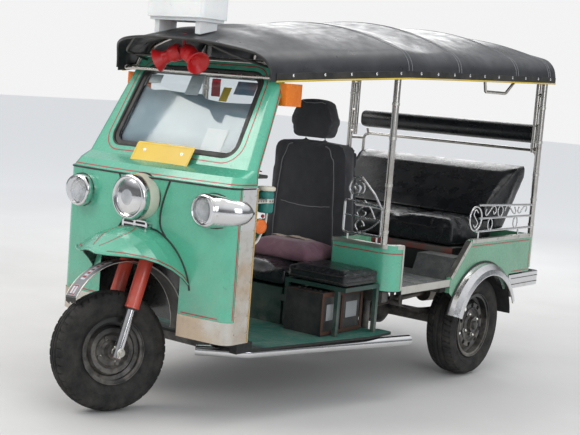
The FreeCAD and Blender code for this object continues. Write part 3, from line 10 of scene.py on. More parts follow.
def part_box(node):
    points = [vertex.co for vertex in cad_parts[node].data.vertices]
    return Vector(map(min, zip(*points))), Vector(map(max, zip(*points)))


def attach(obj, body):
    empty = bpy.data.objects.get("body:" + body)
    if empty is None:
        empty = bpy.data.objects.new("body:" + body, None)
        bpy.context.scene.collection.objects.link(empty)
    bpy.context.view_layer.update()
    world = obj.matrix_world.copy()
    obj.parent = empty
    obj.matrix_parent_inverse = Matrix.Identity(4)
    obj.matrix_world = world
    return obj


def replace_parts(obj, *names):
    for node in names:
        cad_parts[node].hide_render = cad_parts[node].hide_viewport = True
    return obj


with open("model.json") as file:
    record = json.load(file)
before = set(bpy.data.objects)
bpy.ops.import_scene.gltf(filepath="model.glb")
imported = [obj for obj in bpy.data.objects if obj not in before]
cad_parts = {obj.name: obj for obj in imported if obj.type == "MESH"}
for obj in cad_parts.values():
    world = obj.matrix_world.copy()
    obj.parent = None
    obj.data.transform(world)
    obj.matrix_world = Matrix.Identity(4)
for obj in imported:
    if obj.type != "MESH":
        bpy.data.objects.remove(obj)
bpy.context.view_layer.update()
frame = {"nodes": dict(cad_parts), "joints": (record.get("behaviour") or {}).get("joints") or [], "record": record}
NODES = frame["nodes"]
JOINTS = {joint["name"]: joint for joint in frame["joints"]}
SIDES = ((1, "left"), (-1, "right"))
UP = (0, 0, 1)
AHEAD = (0, -1, 0)
BEHIND = (0, 1, 0)
OUTWARD = (1, 0, 0)


# Materials

class Graph:
    """Short names for the shader nodes that the finishes are made of."""

    def __init__(self, name):
        self.material = bpy.data.materials.new(name)
        self.material.use_nodes = True
        self.tree = self.material.node_tree
        self.shader = self.tree.nodes["Principled BSDF"]
        self.place = self.add("ShaderNodeTexCoord").outputs["Object"]

    def add(self, kind, **settings):
        node = self.tree.nodes.new(kind)
        for key, value in settings.items():
            setattr(node, key, value)
        return node

    def link(self, source, target):
        self.tree.links.new(source, target)

    def scaled(self, stretch):
        mapping = self.add("ShaderNodeMapping")
        mapping.inputs["Scale"].default_value = stretch
        self.link(self.place, mapping.inputs["Vector"])
        return mapping.outputs["Vector"]

    def texture(self, kind, values, stretch=None, **settings):
        node = self.add(kind, **settings)
        for name, value in values.items():
            node.inputs[name].default_value = value
        self.link(self.scaled(stretch) if stretch else self.place, node.inputs["Vector"])
        return node.outputs

    def noise(self, scale, detail=3, rough=0.5, stretch=None):
        values = {"Scale": scale, "Detail": detail, "Roughness": rough}
        return self.texture("ShaderNodeTexNoise", values, stretch)["Fac"]

    def cells(self, scale):
        return self.texture("ShaderNodeTexVoronoi", {"Scale": scale})["Distance"]

    def bands(self, scale, direction, distortion=0.4):
        values = {"Scale": scale, "Distortion": distortion}
        return self.texture("ShaderNodeTexWave", values, bands_direction=direction)["Fac"]

    def remap(self, value, low, high, out_low=0.0, out_high=1.0):
        node = self.add("ShaderNodeMapRange")
        for socket, number in zip(("From Min", "From Max", "To Min", "To Max"), (low, high, out_low, out_high)):
            node.inputs[socket].default_value = number
        self.link(value, node.inputs["Value"])
        return node.outputs["Result"]

    def fill(self, sockets, values):
        """Link each value to its socket, or set it there when it is a plain one."""
        for socket, value in zip(sockets, values):
            if isinstance(value, (int, float, tuple)):
                socket.default_value = value
            else:
                self.link(value, socket)

    def math(self, operation, first, second):
        node = self.add("ShaderNodeMath", operation=operation)
        self.fill(node.inputs, (first, second))
        return node.outputs[0]

    def vector(self, operation, first, second):
        node = self.add("ShaderNodeVectorMath", operation=operation)
        self.fill(node.inputs, (first, second))
        return node.outputs

    def product(self, first, *others):
        for value in others:
            first = self.math("MULTIPLY", first, value)
        return first

    def mix(self, factor, first, second):
        """Blend two colours, each plain or from a node."""
        node = self.add("ShaderNodeMix", data_type="RGBA")
        self.link(factor, node.inputs["Factor"])
        colours = [(*value, 1) if isinstance(value, tuple) else value for value in (first, second)]
        self.fill((node.inputs["A"], node.inputs["B"]), colours)
        return node.outputs["Result"]

    def split(self, value, axis):
        node = self.add("ShaderNodeSeparateXYZ")
        self.link(value, node.inputs[0])
        return node.outputs[axis]

    def normal(self):
        return self.add("ShaderNodeNewGeometry").outputs["Normal"]

    def height(self):
        return self.split(self.place, "Z")

    def along(self):
        return self.split(self.place, "Y")

    def facing_up(self):
        return self.split(self.normal(), "Z")

    def facing_back(self):
        return self.split(self.normal(), "Y")

    def facing_in(self, centre):
        """How far a face looks towards an upright line through centre: negative when it does."""
        away = self.vector("SUBTRACT", self.place, (*centre, 0))[0]
        level = self.vector("MULTIPLY", away, (1, 1, 0))[0]
        return self.vector("DOT_PRODUCT", level, self.normal())["Value"]

    def bump(self, value, strength, distance):
        node = self.add("ShaderNodeBump")
        node.inputs["Strength"].default_value = strength
        node.inputs["Distance"].default_value = distance
        self.link(value, node.inputs["Height"])
        if self.shader.inputs["Normal"].is_linked:
            self.link(self.shader.inputs["Normal"].links[0].from_socket, node.inputs["Normal"])
        self.link(node.outputs["Normal"], self.shader.inputs["Normal"])

    def constant(self, **sockets):
        for name, value in sockets.items():
            self.shader.inputs[name.replace("_", " ")].default_value = value

    def colour(self, value):
        self.link(value, self.shader.inputs["Base Color"])

    def roughness(self, value):
        self.link(value, self.shader.inputs["Roughness"])


DUST = (0.34, 0.31, 0.27)
# The tub's own yellower green, made darker partly as painted shade
TUB_GREEN_PARTLY_SHADED = (0.112, 0.365, 0.215)
TUB_SHADE = (0.090, 0.285, 0.160)


def painted_well_shade(g):
    """Painted shade on the nose's paint: dark in the front wheel's well, on the wall behind it and on undersides."""
    below = g.remap(g.height(), 1.0, 0.97)
    inside = g.product(below, g.remap(g.along(), -0.86, -0.89), g.remap(g.facing_in((0, -0.75)), 0.0, -0.03))
    wall = g.product(g.remap(g.along(), -0.90, -0.88), g.remap(g.along(), -0.80, -0.82),
                     g.remap(g.facing_back(), -0.4, -0.7), below)
    return g.math("MAXIMUM", g.math("MAXIMUM", inside, wall), g.remap(g.facing_up(), -0.25, -0.5))


def paint(name, base, shade, rough=0.22, coat=0.6, chips=0.64, dust_top=0.75, body_green_and_shade=False):
    """Sprayed enamel: cloudy fading, small chips, dust near the road and a faint orange peel.

    The body's green is another, yellower one on the tub, behind y = 0, darker there partly as painted shade,
    and near black as painted shade in the wheel well and on undersides.
    """
    g = Graph(name)
    tone = g.mix(g.remap(g.noise(2.6, 4, 0.6), 0.35, 0.68), base, shade)
    if body_green_and_shade:
        # On the tub the green is yellower and darker; the darkness is partly painted shade
        tub = g.mix(g.remap(g.noise(3.4, 4, 0.6), 0.35, 0.68), TUB_GREEN_PARTLY_SHADED, TUB_SHADE)
        tone = g.mix(g.remap(g.along(), -0.05, 0.05), tone, tub)
    specks = g.remap(g.noise(58, 4, 0.7), chips, chips + 0.03)
    patch = g.remap(g.noise(5, 2), 0.5, 0.62)
    worn = g.mix(g.product(specks, patch), tone, tuple(0.35 * c for c in base))
    low = g.remap(g.height(), dust_top, 0.28)
    haze = g.product(low, g.remap(g.noise(13, 5, 0.7), 0.38, 0.75, 0, 0.6))
    finished = g.mix(haze, worn, DUST)
    # Painted shade: near black in the front wheel's well, on the wall behind it and on undersides
    if body_green_and_shade:
        finished = g.mix(painted_well_shade(g), finished, (0.012, 0.013, 0.012))
    g.colour(finished)
    g.roughness(g.remap(g.noise(21, 4), 0.3, 0.75, rough, rough + 0.16))
    g.bump(g.noise(330, 2), 0.08, 0.0006)
    g.constant(Coat_Weight=coat, Coat_Roughness=0.12)
    return g.material


def bare_metal(name, base, rough, stretch, grime=0.35, metallic=1.0, scale=24):
    """Polished or brushed metal with smudges, fine lines along one way and a little rust in specks."""
    g = Graph(name)
    stain = g.remap(g.noise(9, 5, 0.65), 0.5, 0.78, 0, grime)
    tone = g.mix(stain, base, tuple(c * f for c, f in zip(base, (0.55, 0.5, 0.44))))
    specks = g.remap(g.noise(90, 4, 0.75), 0.69, 0.73)
    g.colour(g.mix(specks, tone, (0.2, 0.11, 0.06)))
    lines = g.noise(scale, 4, 0.6, stretch)
    g.roughness(g.remap(lines, 0.3, 0.7, rough, rough + 0.14))
    g.bump(lines, 0.06, 0.0006)
    g.constant(Metallic=metallic)
    return g.material


def rubbery(name, base, rough=0.75, dust=0.45, grain=180):
    """Rubber or matt plastic: fine grain, grey bloom and road dust."""
    g = Graph(name)
    bloom = g.remap(g.noise(11, 5, 0.7), 0.4, 0.8, 0, dust)
    g.colour(g.mix(bloom, base, tuple(c * 0.45 for c in DUST)))
    g.roughness(g.remap(g.noise(30, 3), 0.3, 0.7, rough - 0.1, rough + 0.1))
    g.bump(g.noise(grain, 4), 0.25, 0.0006)
    return g.material


def vinyl(name, base, rough=0.34, grain=420, folds=7, fold_depth=0.004):
    """Coated cloth or leatherette: pebble grain over soft creases, paler where it is rubbed."""
    g = Graph(name)
    rub = g.remap(g.noise(6, 5, 0.65), 0.48, 0.8, 0, 0.5)
    g.colour(g.mix(rub, base, tuple(min(1, c * 1.9 + 0.02) for c in base)))
    g.roughness(g.remap(g.noise(17, 4), 0.3, 0.75, rough, rough + 0.2))
    g.bump(g.noise(folds, 3, 0.45), 0.4, fold_depth)
    g.bump(g.cells(grain), 0.22, 0.0008)
    g.constant(Specular_IOR_Level=0.55)
    return g.material


def cloth(name, base, shade, pitch=900, rough=0.9):
    """Woven cover: crossed threads, fading in large patches and a soft sheen."""
    g = Graph(name)
    tone = g.mix(g.remap(g.noise(7, 4, 0.6), 0.35, 0.7), base, shade)
    threads = g.math("MULTIPLY", g.bands(pitch * 0.35, "X"), g.bands(pitch * 0.35, "Z"))
    g.colour(g.mix(g.remap(threads, 0.0, 1.0, 0, 0.35), tone, tuple(c * 0.45 for c in base)))
    g.roughness(g.remap(g.noise(26, 3), 0.3, 0.7, rough - 0.1, rough + 0.08))
    g.bump(threads, 0.3, 0.0008)
    g.bump(g.noise(14, 4, 0.55), 0.35, 0.004)
    g.constant(Sheen_Weight=0.25, Sheen_Roughness=0.5)
    return g.material


def worn_floor(name, base, wear, pattern=0.0):
    """Painted floor sheet: scuffs down to the metal, caked dust and, on the tub, a raised diamond pattern."""
    g = Graph(name)
    scuff = g.remap(g.noise(17, 6, 0.75), 0.46, 0.62)
    tone = g.mix(scuff, base, wear)
    dusty = g.mix(g.remap(g.noise(4, 4), 0.45, 0.75, 0, 0.4), tone, DUST)
    # Painted shade: near black where faces don't look up and ahead of y = -0.86, fading out by y = -0.80
    lit = g.math("MULTIPLY", g.remap(g.facing_up(), 0.3, 0.6), g.remap(g.along(), -0.86, -0.80))
    g.colour(g.mix(lit, (0.016, 0.017, 0.017), dusty))
    g.roughness(g.remap(g.noise(35, 3), 0.3, 0.7, 0.45, 0.75))
    if pattern:
        first = g.bands(pattern, "DIAGONAL", 0)
        second = g.bands(pattern, "X", 0)
        g.bump(g.remap(g.math("MULTIPLY", first, second), 0.5, 0.8), 0.6, 0.002)
    g.bump(g.noise(120, 4), 0.3, 0.001)
    g.constant(Metallic=0.15)
    return g.material


def clear(name, tint, rough=0.02, alpha=1.0, ribs=0.0):
    """Glass or clear plastic with faint dust films; lenses get moulded ribs."""
    g = Graph(name)
    g.colour(g.mix(g.remap(g.noise(15, 4), 0.5, 0.9, 0, 0.12), tint, (0.8, 0.8, 0.76)))
    g.roughness(g.remap(g.noise(22, 4), 0.4, 0.8, rough, rough + 0.05))
    if ribs:
        g.bump(g.bands(ribs, "X", 0), 0.7, 0.002)
    g.constant(Transmission_Weight=alpha, IOR=1.45, Specular_IOR_Level=0.6)
    return g.material


def moulded(name, base, shade, rough=0.3, glow=0.0):
    """Moulded plastic: slight mottling, sun fading and a fine surface grain."""
    g = Graph(name)
    tone = g.mix(g.remap(g.noise(6, 4), 0.38, 0.7), base, shade)
    g.colour(g.mix(g.remap(g.noise(70, 4, 0.7), 0.64, 0.7, 0, 0.5), tone, tuple(c * 0.5 for c in base)))
    g.roughness(g.remap(g.noise(25, 3), 0.3, 0.7, rough, rough + 0.15))
    g.bump(g.noise(240, 3), 0.12, 0.0005)
    g.constant(Subsurface_Weight=glow)
    return g.material


LENGTHWAYS = (1, 0.05, 1)
UPRIGHT = (1, 1, 0.04)
LOOKS = {name: maker(name, *values) for name, maker, *values in (
    # The slots of the CAD nodes: name, what makes it, and its values
    ("mint_paint", paint, (0.095, 0.46, 0.305), (0.075, 0.36, 0.235), 0.2, 0.8, 0.64, 0.75, True),
    ("dark_steel", paint, (0.022, 0.022, 0.024), (0.045, 0.04, 0.036), 0.45, 0.1, 0.6),
    ("cast_metal", bare_metal, (0.2, 0.2, 0.21), 0.5, (1, 1, 1), 0.8, 0.7, 60),
    ("dull_steel", bare_metal, (0.17, 0.15, 0.13), 0.4, LENGTHWAYS, 0.9, 0.7),
    ("black_rubber", rubbery, (0.014, 0.014, 0.014), 0.5, 0.3),
    ("clear_glass", clear, (0.93, 0.97, 0.965)),
    ("brushed_steel", bare_metal, (0.60, 0.575, 0.54), 0.16, UPRIGHT, 0.8),
    ("chrome", bare_metal, (0.72, 0.72, 0.73), 0.07, LENGTHWAYS, 0.35),
    ("yellow_paint", paint, (0.82, 0.56, 0.03), (0.72, 0.47, 0.03), 0.35, 0.2, 0.68),
    ("green_floor", worn_floor, (0.03, 0.16, 0.12), (0.1, 0.19, 0.16)),
    ("battery_case", rubbery, (0.02, 0.02, 0.022), 0.5, 0.35),
    ("black_vinyl", vinyl, (0.010, 0.011, 0.013), 0.2),
    ("grey_fabric", cloth, (0.033, 0.033, 0.038), (0.05, 0.05, 0.056)),
    ("pink_fabric", cloth, (0.19, 0.08, 0.115), (0.27, 0.14, 0.17)),
    ("grey_floor", worn_floor, (0.16, 0.165, 0.17), (0.3, 0.3, 0.29), 34),
    ("roof_vinyl", vinyl, (0.028, 0.030, 0.034), 0.27, 300, 4, 0.008),
    ("white_plastic", moulded, (0.86, 0.87, 0.86), (0.75, 0.76, 0.75), 0.28, 0.15),
    ("red_plastic", moulded, (0.5, 0.012, 0.014), (0.38, 0.01, 0.012), 0.25, 0.1),
    ("amber_plastic", moulded, (0.85, 0.24, 0.01), (0.7, 0.16, 0.01), 0.2, 0.2),
    ("red_paint", paint, (0.74, 0.075, 0.035), (0.52, 0.05, 0.03), 0.28, 0.5),
    ("dark_paint", paint, (0.025, 0.026, 0.028), (0.05, 0.048, 0.045), 0.45, 0.1, 0.6),
    ("tyre_rubber", rubbery, (0.010, 0.0098, 0.0095), 0.8, 0.3, 260),
    ("black_wheel", paint, (0.011, 0.011, 0.0115), (0.02, 0.019, 0.018), 0.35, 0.3, 0.66, 0.36),
    # Finishes that only added pieces have
    ("stripe_red", paint, (0.42, 0.02, 0.03), (0.33, 0.02, 0.03), 0.3, 0.4, 0.66),
    ("teal_jar", moulded, (0.02, 0.2, 0.17), (0.02, 0.15, 0.13), 0.3, 0.1),
    ("cream", moulded, (0.72, 0.68, 0.56), (0.62, 0.58, 0.47), 0.35, 0.1),
    ("lens", clear, (0.97, 0.98, 1.0), 0.04, 0.85, 55),
    ("tan_cloth", cloth, (0.45, 0.33, 0.23), (0.55, 0.43, 0.32), 700),
    ("pale_cloth", cloth, (0.62, 0.6, 0.55), (0.74, 0.72, 0.67), 700),
    ("sticker", moulded, (0.75, 0.78, 0.8), (0.55, 0.62, 0.66), 0.35),
    ("dark_sticker", moulded, (0.16, 0.3, 0.42), (0.5, 0.24, 0.2), 0.35),
    ("yellow_trim", moulded, (0.7, 0.5, 0.06), (0.55, 0.38, 0.05), 0.45),
    ("red_rubber", moulded, (0.35, 0.02, 0.02), (0.28, 0.02, 0.02), 0.5),
    ("worn_band", moulded, (0.30, 0.03, 0.02), (0.03, 0.11, 0.10), 0.5),
    ("pale_film", moulded, (0.36, 0.48, 0.56), (0.47, 0.58, 0.63), 0.35),
    ("rust", bare_metal, (0.09, 0.045, 0.03), 0.6, LENGTHWAYS, 0.9, 0.4),
    ("grey_sheet", paint, (0.24, 0.25, 0.26), (0.32, 0.33, 0.34), 0.4, 0.1, 0.62, 0.5),
    ("brass", bare_metal, (0.62, 0.45, 0.2), 0.2, UPRIGHT, 0.5),
    ("orange", moulded, (0.75, 0.16, 0.02), (0.6, 0.12, 0.02), 0.25, 0.1),
    ("thread", cloth, (0.2, 0.2, 0.21), (0.3, 0.3, 0.31), 700),
    ("zinc", bare_metal, (0.66, 0.65, 0.6), 0.28, LENGTHWAYS, 0.6),
)}

for row in frame["record"]["subparts"]:
    node = NODES[row["node"]]
    node.data.materials.clear()
    node.data.materials.append(LOOKS[row["material_slot"]])


# Mesh helpers

def linked(name, data):
    """A new object with this data, in the scene."""
    obj = bpy.data.objects.new(name, data)
    bpy.context.scene.collection.objects.link(obj)
    return obj


def piece(name, verts, faces, finish, smooth=40, body="body"):
    """A mesh object from points in metres, shaded smooth below an edge angle, riding on its body."""
    mesh = bpy.data.meshes.new(name)
    mesh.from_pydata([tuple(v) for v in verts], [], faces)
    mesh.materials.append(LOOKS[finish])
    tidy_normals(mesh)
    obj = linked(name, mesh)
    if smooth:
        mesh.shade_smooth()
        mesh.set_sharp_from_angle(angle=math.radians(smooth))
    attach(obj, body)
    return obj


def tidy_normals(mesh):
    bm = bmesh.new()
    bm.from_mesh(mesh)
    bmesh.ops.remove_doubles(bm, verts=bm.verts, dist=1e-6)
    bmesh.ops.dissolve_degenerate(bm, edges=bm.edges, dist=1e-7)
    bmesh.ops.recalc_face_normals(bm, faces=bm.faces)
    bm.to_mesh(mesh)
    bm.free()


def bake(obj, modifier):
    """Put a modifier's result into the mesh and drop it."""
    graph = bpy.context.evaluated_depsgraph_get()
    graph.update()
    made = bpy.data.meshes.new_from_object(obj.evaluated_get(graph), preserve_all_data_layers=True, depsgraph=graph)
    obj.modifiers.remove(modifier)
    obj.data = made


def modified(obj, kind, **settings):
    """The object after one modifier with these settings."""
    modifier = obj.modifiers.new(kind.lower(), kind)
    for key, value in settings.items():
        setattr(modifier, key, value)
    bake(obj, modifier)
    return obj


class Parts:
    """Gathers many small shapes into one mesh."""

    def __init__(self):
        self.verts = []
        self.faces = []

    def add(self, shape):
        verts, faces = shape
        start = len(self.verts)
        self.verts += [Vector(v) for v in verts]
        self.faces += [[i + start for i in face] for face in faces]
        return self

    def make(self, name, finish, smooth=40, body="body"):
        return piece(name, self.verts, self.faces, finish, smooth, body)


def grid_faces(rows, columns, wrap_rows=False, wrap_columns=False):
    faces = []
    for i in range(rows if wrap_rows else rows - 1):
        for j in range(columns if wrap_columns else columns - 1):
            a = i * columns + j
            b = i * columns + (j + 1) % columns
            c = ((i + 1) % rows) * columns + (j + 1) % columns
            d = ((i + 1) % rows) * columns + j
            faces.append([a, b, c, d])
    return faces


def spaced(first, last, steps):
    """Even numbers from first to last, both included."""
    return [first + (last - first) * k / steps for k in range(steps + 1)]


def turns(count, first=0.0):
    """Angles at even distances round a full turn."""
    return [first + 2 * math.pi * k / count for k in range(count)]


def grid_sheet(name, finish, across, along, place, thickness):
    """A thin sheet over a grid: place says where each of its points lies."""
    verts = [place(a, b) for b in along for a in across]
    sheet = piece(name, verts, grid_faces(len(along), len(across)), finish, 60)
    return modified(sheet, "SOLIDIFY", thickness=thickness)


def smooth_line(points, steps=8, closed=False):
    """Points along a smooth line through the given ones."""
    pts = [Vector(p) for p in points]
    count = len(pts)
    out = []
    for i in range(count if closed else count - 1):
        p1 = pts[i]
        p2 = pts[(i + 1) % count]
        p0 = pts[i - 1] if closed or i else p1 * 2 - p2
        p3 = pts[(i + 2) % count] if closed or i + 2 < count else p2 * 2 - p1
        for k in range(steps):
            t = k / steps
            out.append(0.5 * (2 * p1 + (p2 - p0) * t + (2 * p0 - 5 * p1 + 4 * p2 - p3) * t * t
                              + (3 * p1 - p0 - 3 * p2 + p3) * t ** 3))
    if not closed:
        out.append(pts[-1])
    return out


def sweep(points, section, normals=None, closed=False):
    """A section of (across, out) pairs carried along a line.

    Out follows the normals, one for each point or one for all, or turns least when there are none.
    """
    pts = [Vector(p) for p in points]
    count = len(pts)
    if normals and isinstance(normals[0], (int, float)):
        normals = [normals] * count
    verts = []
    last = None
    for i, p in enumerate(pts):
        before = pts[i - 1] if closed or i else p
        after = pts[(i + 1) % count] if closed or i + 1 < count else p
        along = (after - before).normalized()
        if normals:
            out = Vector(normals[i])
        elif last is None:
            out = Vector((0, 0, 1)) if abs(along.z) < 0.9 else Vector((1, 0, 0))
        else:
            out = last
        out = (out - along * out.dot(along)).normalized()
        last = out
        across = along.cross(out)
        verts += [p + across * u + out * v for u, v in section]
    faces = grid_faces(count, len(section), closed, True)
    if not closed:
        faces.append(list(range(len(section)))[::-1])
        faces.append([(count - 1) * len(section) + k for k in range(len(section))])
    return verts, faces


def disc(radius, sides=12):
    return [(radius * math.cos(a), radius * math.sin(a)) for a in turns(sides)]


def slab(width, thick):
    w = width / 2
    t = thick / 2
    return [(-w, -t), (w, -t), (w, t), (-w, t)]


def strip(width, thick):
    w = width / 2
    e = min(thick / 2, w / 3)
    return [(-w, -thick), (w, -thick), (w, thick * 0.4), (w - e, thick), (e - w, thick), (-w, thick * 0.4)]


def frame_of(axis):
    axis = Vector(axis).normalized()
    side = axis.orthogonal().normalized()
    if abs(axis.z) < 0.9:
        side = Vector((0, 0, 1)).cross(axis).normalized()
    return axis, side, axis.cross(side)


def lathe(profile, centre, axis, segments=32):
    """Turn (along, radius) pairs about an axis through centre. A profile between two places on the axis closes."""
    axis, u, v = frame_of(axis)
    centre = Vector(centre)
    verts = []
    for angle in turns(segments):
        ray = u * math.cos(angle) + v * math.sin(angle)
        verts += [centre + axis * a + ray * r for a, r in profile]
    return verts, grid_faces(segments, len(profile), True, True)


def bevel_box(low, high, edge=0.002, turn=None):
    """A box with its twelve edges chamfered, between two corners."""
    lo = Vector(low)
    hi = Vector(high)
    e = min(edge, min(hi - lo) * 0.45)
    bm = bmesh.new()
    bmesh.ops.create_cube(bm, size=1)
    for v in bm.verts:
        v.co = Vector(((lo[i] + hi[i]) / 2 + v.co[i] * (hi[i] - lo[i])) for i in range(3))
    bmesh.ops.bevel(bm, geom=bm.edges[:], offset=e, segments=2, affect="EDGES", profile=0.5)
    if turn is not None:
        bmesh.ops.transform(bm, matrix=turn, verts=bm.verts)
    bm.verts.index_update()
    shape = [v.co.copy() for v in bm.verts], [[v.index for v in f.verts] for f in bm.faces]
    bm.free()
    return shape


def bolt(centre, axis, radius=0.006, height=0.004):
    """Hexagon head on a washer."""
    axis, u, v = frame_of(axis)
    centre = Vector(centre)
    wide = radius * 1.5
    washer = [(0, 0), (0, wide), (radius * 0.15, wide), (radius * 0.25, radius * 1.1), (radius * 0.25, 0)]
    shape = Parts().add(lathe(washer, centre, axis, 16))
    head = []
    for along, share in ((0.0, 1.0), (height * 0.8, 1.0), (height, 0.82)):
        for a in turns(6):
            ray = u * math.cos(a) + v * math.sin(a)
            head.append(centre + axis * (radius * 0.2 + along) + ray * radius * share)
    shape.add((head, grid_faces(3, 6, False, True) + [[12, 13, 14, 15, 16, 17], [5, 4, 3, 2, 1, 0]]))
    return shape.verts, shape.faces


def surface(*names):
    """What rays hit: the named CAD nodes as one tree."""
    verts = []
    polys = []
    for name in names:
        mesh = NODES[name].data
        start = len(verts)
        verts += [v.co.copy() for v in mesh.vertices]
        polys += [[i + start for i in p.vertices] for p in mesh.polygons]
    return bvhtree.BVHTree.FromPolygons(verts, polys)


def cast(tree, points, way):
    """Each point carried along way onto the surface, with the normals there turned against way."""
    way = Vector(way).normalized()
    hits = []
    normals = []
    for p in points:
        place, normal, _, _ = tree.ray_cast(Vector(p) - way * 2, way)
        if place is None:
            continue
        hits.append(place)
        normals.append(normal if normal.dot(way) < 0 else -normal)
    return hits, normals


def evened(line, gap=0.012):
    """The same line with points at even distances."""
    out = [Vector(line[0])]
    for a, b in zip(line, line[1:]):
        run = Vector(b) - Vector(a)
        steps = max(1, int(run.length / gap))
        out += [Vector(a) + run * (k + 1) / steps for k in range(steps)]
    return out


def evened_ring(loop, gap=0.02):
    """The same for a closed line, whose first point isn't given again at its end."""
    return evened(loop + [loop[0]], gap)[:-1]


# Tyres and wheels

TREADS = {
    # grooves as shares of half the tread, cuts round the tyre, their slant, and where they begin
    "blocks": ((-0.5, 0.0, 0.5), 54, 0.9, 0.56),
    "ribs": ((-0.62, -0.22, 0.22, 0.62), 44, 0.5, 0.66),
}
WALL_CURVE = (
    # share of the tyre's width, share of the wall's height
    (0.466, 0.24), (0.49, 0.36), (0.494, 0.40), (0.487, 0.41), (0.492, 0.55), (0.478, 0.72), (0.484, 0.735),
    (0.455, 0.83),
)
TYRE_SEGMENTS = 432


def wheel_frame(body):
    """Placement of a wheel drawn about the X axis with its outside towards +X."""
    joint = JOINTS[body + "_spin"]
    x = Vector(joint["axis"]).normalized()
    y = Vector(UP).cross(x).normalized()
    turn = Matrix((x, y, x.cross(y))).transposed().to_4x4()
    return Matrix.Translation(joint["pos_m"]) @ turn


def placed(shape, matrix):
    verts, faces = shape
    return [matrix @ Vector(v) for v in verts], faces


def tread_depth(x, angle, half, kind):
    """How deep the tread is cut at one place: straight grooves, and slanted cuts in the outer blocks."""
    grooves, cuts, slant, begin = TREADS[kind]
    share = x / half
    depth = 0.0
    for groove in grooves:
        depth = max(depth, 0.007 * max(0.0, 1 - (abs(share - groove) * half / 0.0042) ** 4))
    wave = (angle * cuts / (2 * math.pi) + share * slant) % 1.0
    if abs(share) > begin and wave < 0.24:
        depth = max(depth, 0.006)
    return depth


def tyre(name, node, body, radius, width, rim_r, tread_half, bead, kind):
    """Tyre with round walls, moulded rings and a cut tread, on the frame's lines."""
    wall = radius - rim_r
    side = [(bead, rim_r - 0.0147), (bead, rim_r + 0.004), (bead + 0.005, rim_r + 0.1 * wall)]
    side += [(width * across, rim_r + up * wall) for across, up in WALL_CURVE]
    side.append((tread_half + 0.0055, radius - 0.0125))
    tread = [(tread_half * share, radius - 0.0075 * abs(share) ** 3 - 0.0006) for share in spaced(1, -1, 34)]
    profile = side + tread + [(-x, r) for x, r in reversed(side)]
    verts = []
    for angle in turns(TYRE_SEGMENTS):
        for k, (x, r) in enumerate(profile):
            if len(side) - 1 <= k <= len(side) + len(tread):
                r -= tread_depth(x, angle, tread_half, kind)
            verts.append((x, r * math.sin(angle), r * math.cos(angle)))
    shape = placed((verts, grid_faces(TYRE_SEGMENTS, len(profile), True, True)), wheel_frame(body))
    obj = piece(name, *shape, "tyre_rubber", 32, body)
    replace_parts(obj, node)


def wheel_trim(body, matrix, nut_x, circle, radii, ring, finish, smooth):
    """Four bright nuts on the outer side of a wheel, and the hub ring's shapes as a piece of their own."""
    profile = [(0, 0), *zip((0.002, 0.004, 0.013, 0.017), radii), (0.017, 0)]
    nuts = Parts()
    for angle in turns(4, 0.4):
        centre = (nut_x, circle * math.cos(angle), circle * math.sin(angle))
        nuts.add(placed(lathe(profile, centre, OUTWARD, 6), matrix))
    nuts.make(body + "_nuts", "zinc", 30, body)
    hub = Parts()
    for shape in ring:
        hub.add(placed(shape, matrix))
    hub.make(body + "_ring", finish, smooth, body)


def on_axle(profile, segments):
    return lathe(profile, (0, 0, 0), OUTWARD, segments)


tyre("road_tyre_front", "front_tyre", "front_wheel", 0.260, 0.116, 0.144, 0.042, 0.0437, "ribs")
wheel_trim("front_wheel", wheel_frame("front_wheel"), 0.006, 0.052, (0.011475, 0.0085, 0.00799, 0.00425),
           (on_axle([(-0.001, 0.078), (0.004, 0.079), (0.004, 0.083), (-0.001, 0.085)], 48),
            on_axle([(0.046, 0), (0.046, 0.021), (0.062, 0.01995), (0.071, 0.0147), (0.074, 0)], 32)), "zinc", 35)
for _, hand in SIDES:
    tyre(f"road_tyre_{hand}", f"rear_tyre_{hand}", f"rear_wheel_{hand}", 0.267, 0.155, 0.168, 0.056, 0.0577, "blocks")


# Soft pieces

SOFT = []
CLOTH = {"quality": 3, "use_pressure": True, "tension_stiffness": 12, "compression_stiffness": 12,
         "shear_stiffness": 6, "bending_stiffness": 0.8, "vertex_group_mass": "held"}
CLOTH_FRAMES = 10
BACK_WIDENING = 1.08  # the pinned seams pull the driver's backrest in by this much


def slimmed(name, node, shrink, voxel, smooth):
    """A remeshed copy of a CAD solid, a little smaller than it."""
    mesh = NODES[node].data.copy()
    mesh.materials.clear()
    bm = bmesh.new()
    bm.from_mesh(mesh)
    bmesh.ops.remove_doubles(bm, verts=bm.verts, dist=1e-5)
    bmesh.ops.recalc_face_normals(bm, faces=bm.faces)
    bm.to_mesh(mesh)
    bm.free()
    obj = modified(linked(name, mesh), "REMESH", mode="VOXEL", voxel_size=voxel)
    modified(obj, "SMOOTH", iterations=smooth, factor=0.5)
    for v in obj.data.vertices:
        v.co -= v.normal * shrink
    return obj


def with_cloth(obj, pinned, pressure):
    """Make a piece ready to be blown up as cloth: pinned says how firmly each place is held."""
    group = obj.vertex_groups.new(name="held")
    for v in obj.data.vertices:
        weight = pinned(v.co)
        if weight > 0:
            group.add([v.index], weight, "REPLACE")
    modifier = obj.modifiers.new("cloth", "CLOTH")
    for key, value in CLOTH.items():
        setattr(modifier.settings, key, value)
    modifier.settings.uniform_pressure_force = pressure
    modifier.settings.effector_weights.gravity = 0
    modifier.collision_settings.use_collision = False
    modifier.collision_settings.use_self_collision = False
    return modifier


def swollen(name, node, finish, pinned, fill, shrink=0.010, voxel=0.011, pressure=3.2, cap=0.018, smooth=8):
    """A stuffed piece from its CAD solid; blow_up() finishes it."""
    obj = slimmed(name, node, shrink, voxel, smooth)
    rest = [v.co.copy() for v in obj.data.vertices]
    modifier = None
    modifier = with_cloth(obj, pinned, pressure)
    SOFT.append((obj, node, finish, fill, cap, modifier, rest))
    return obj


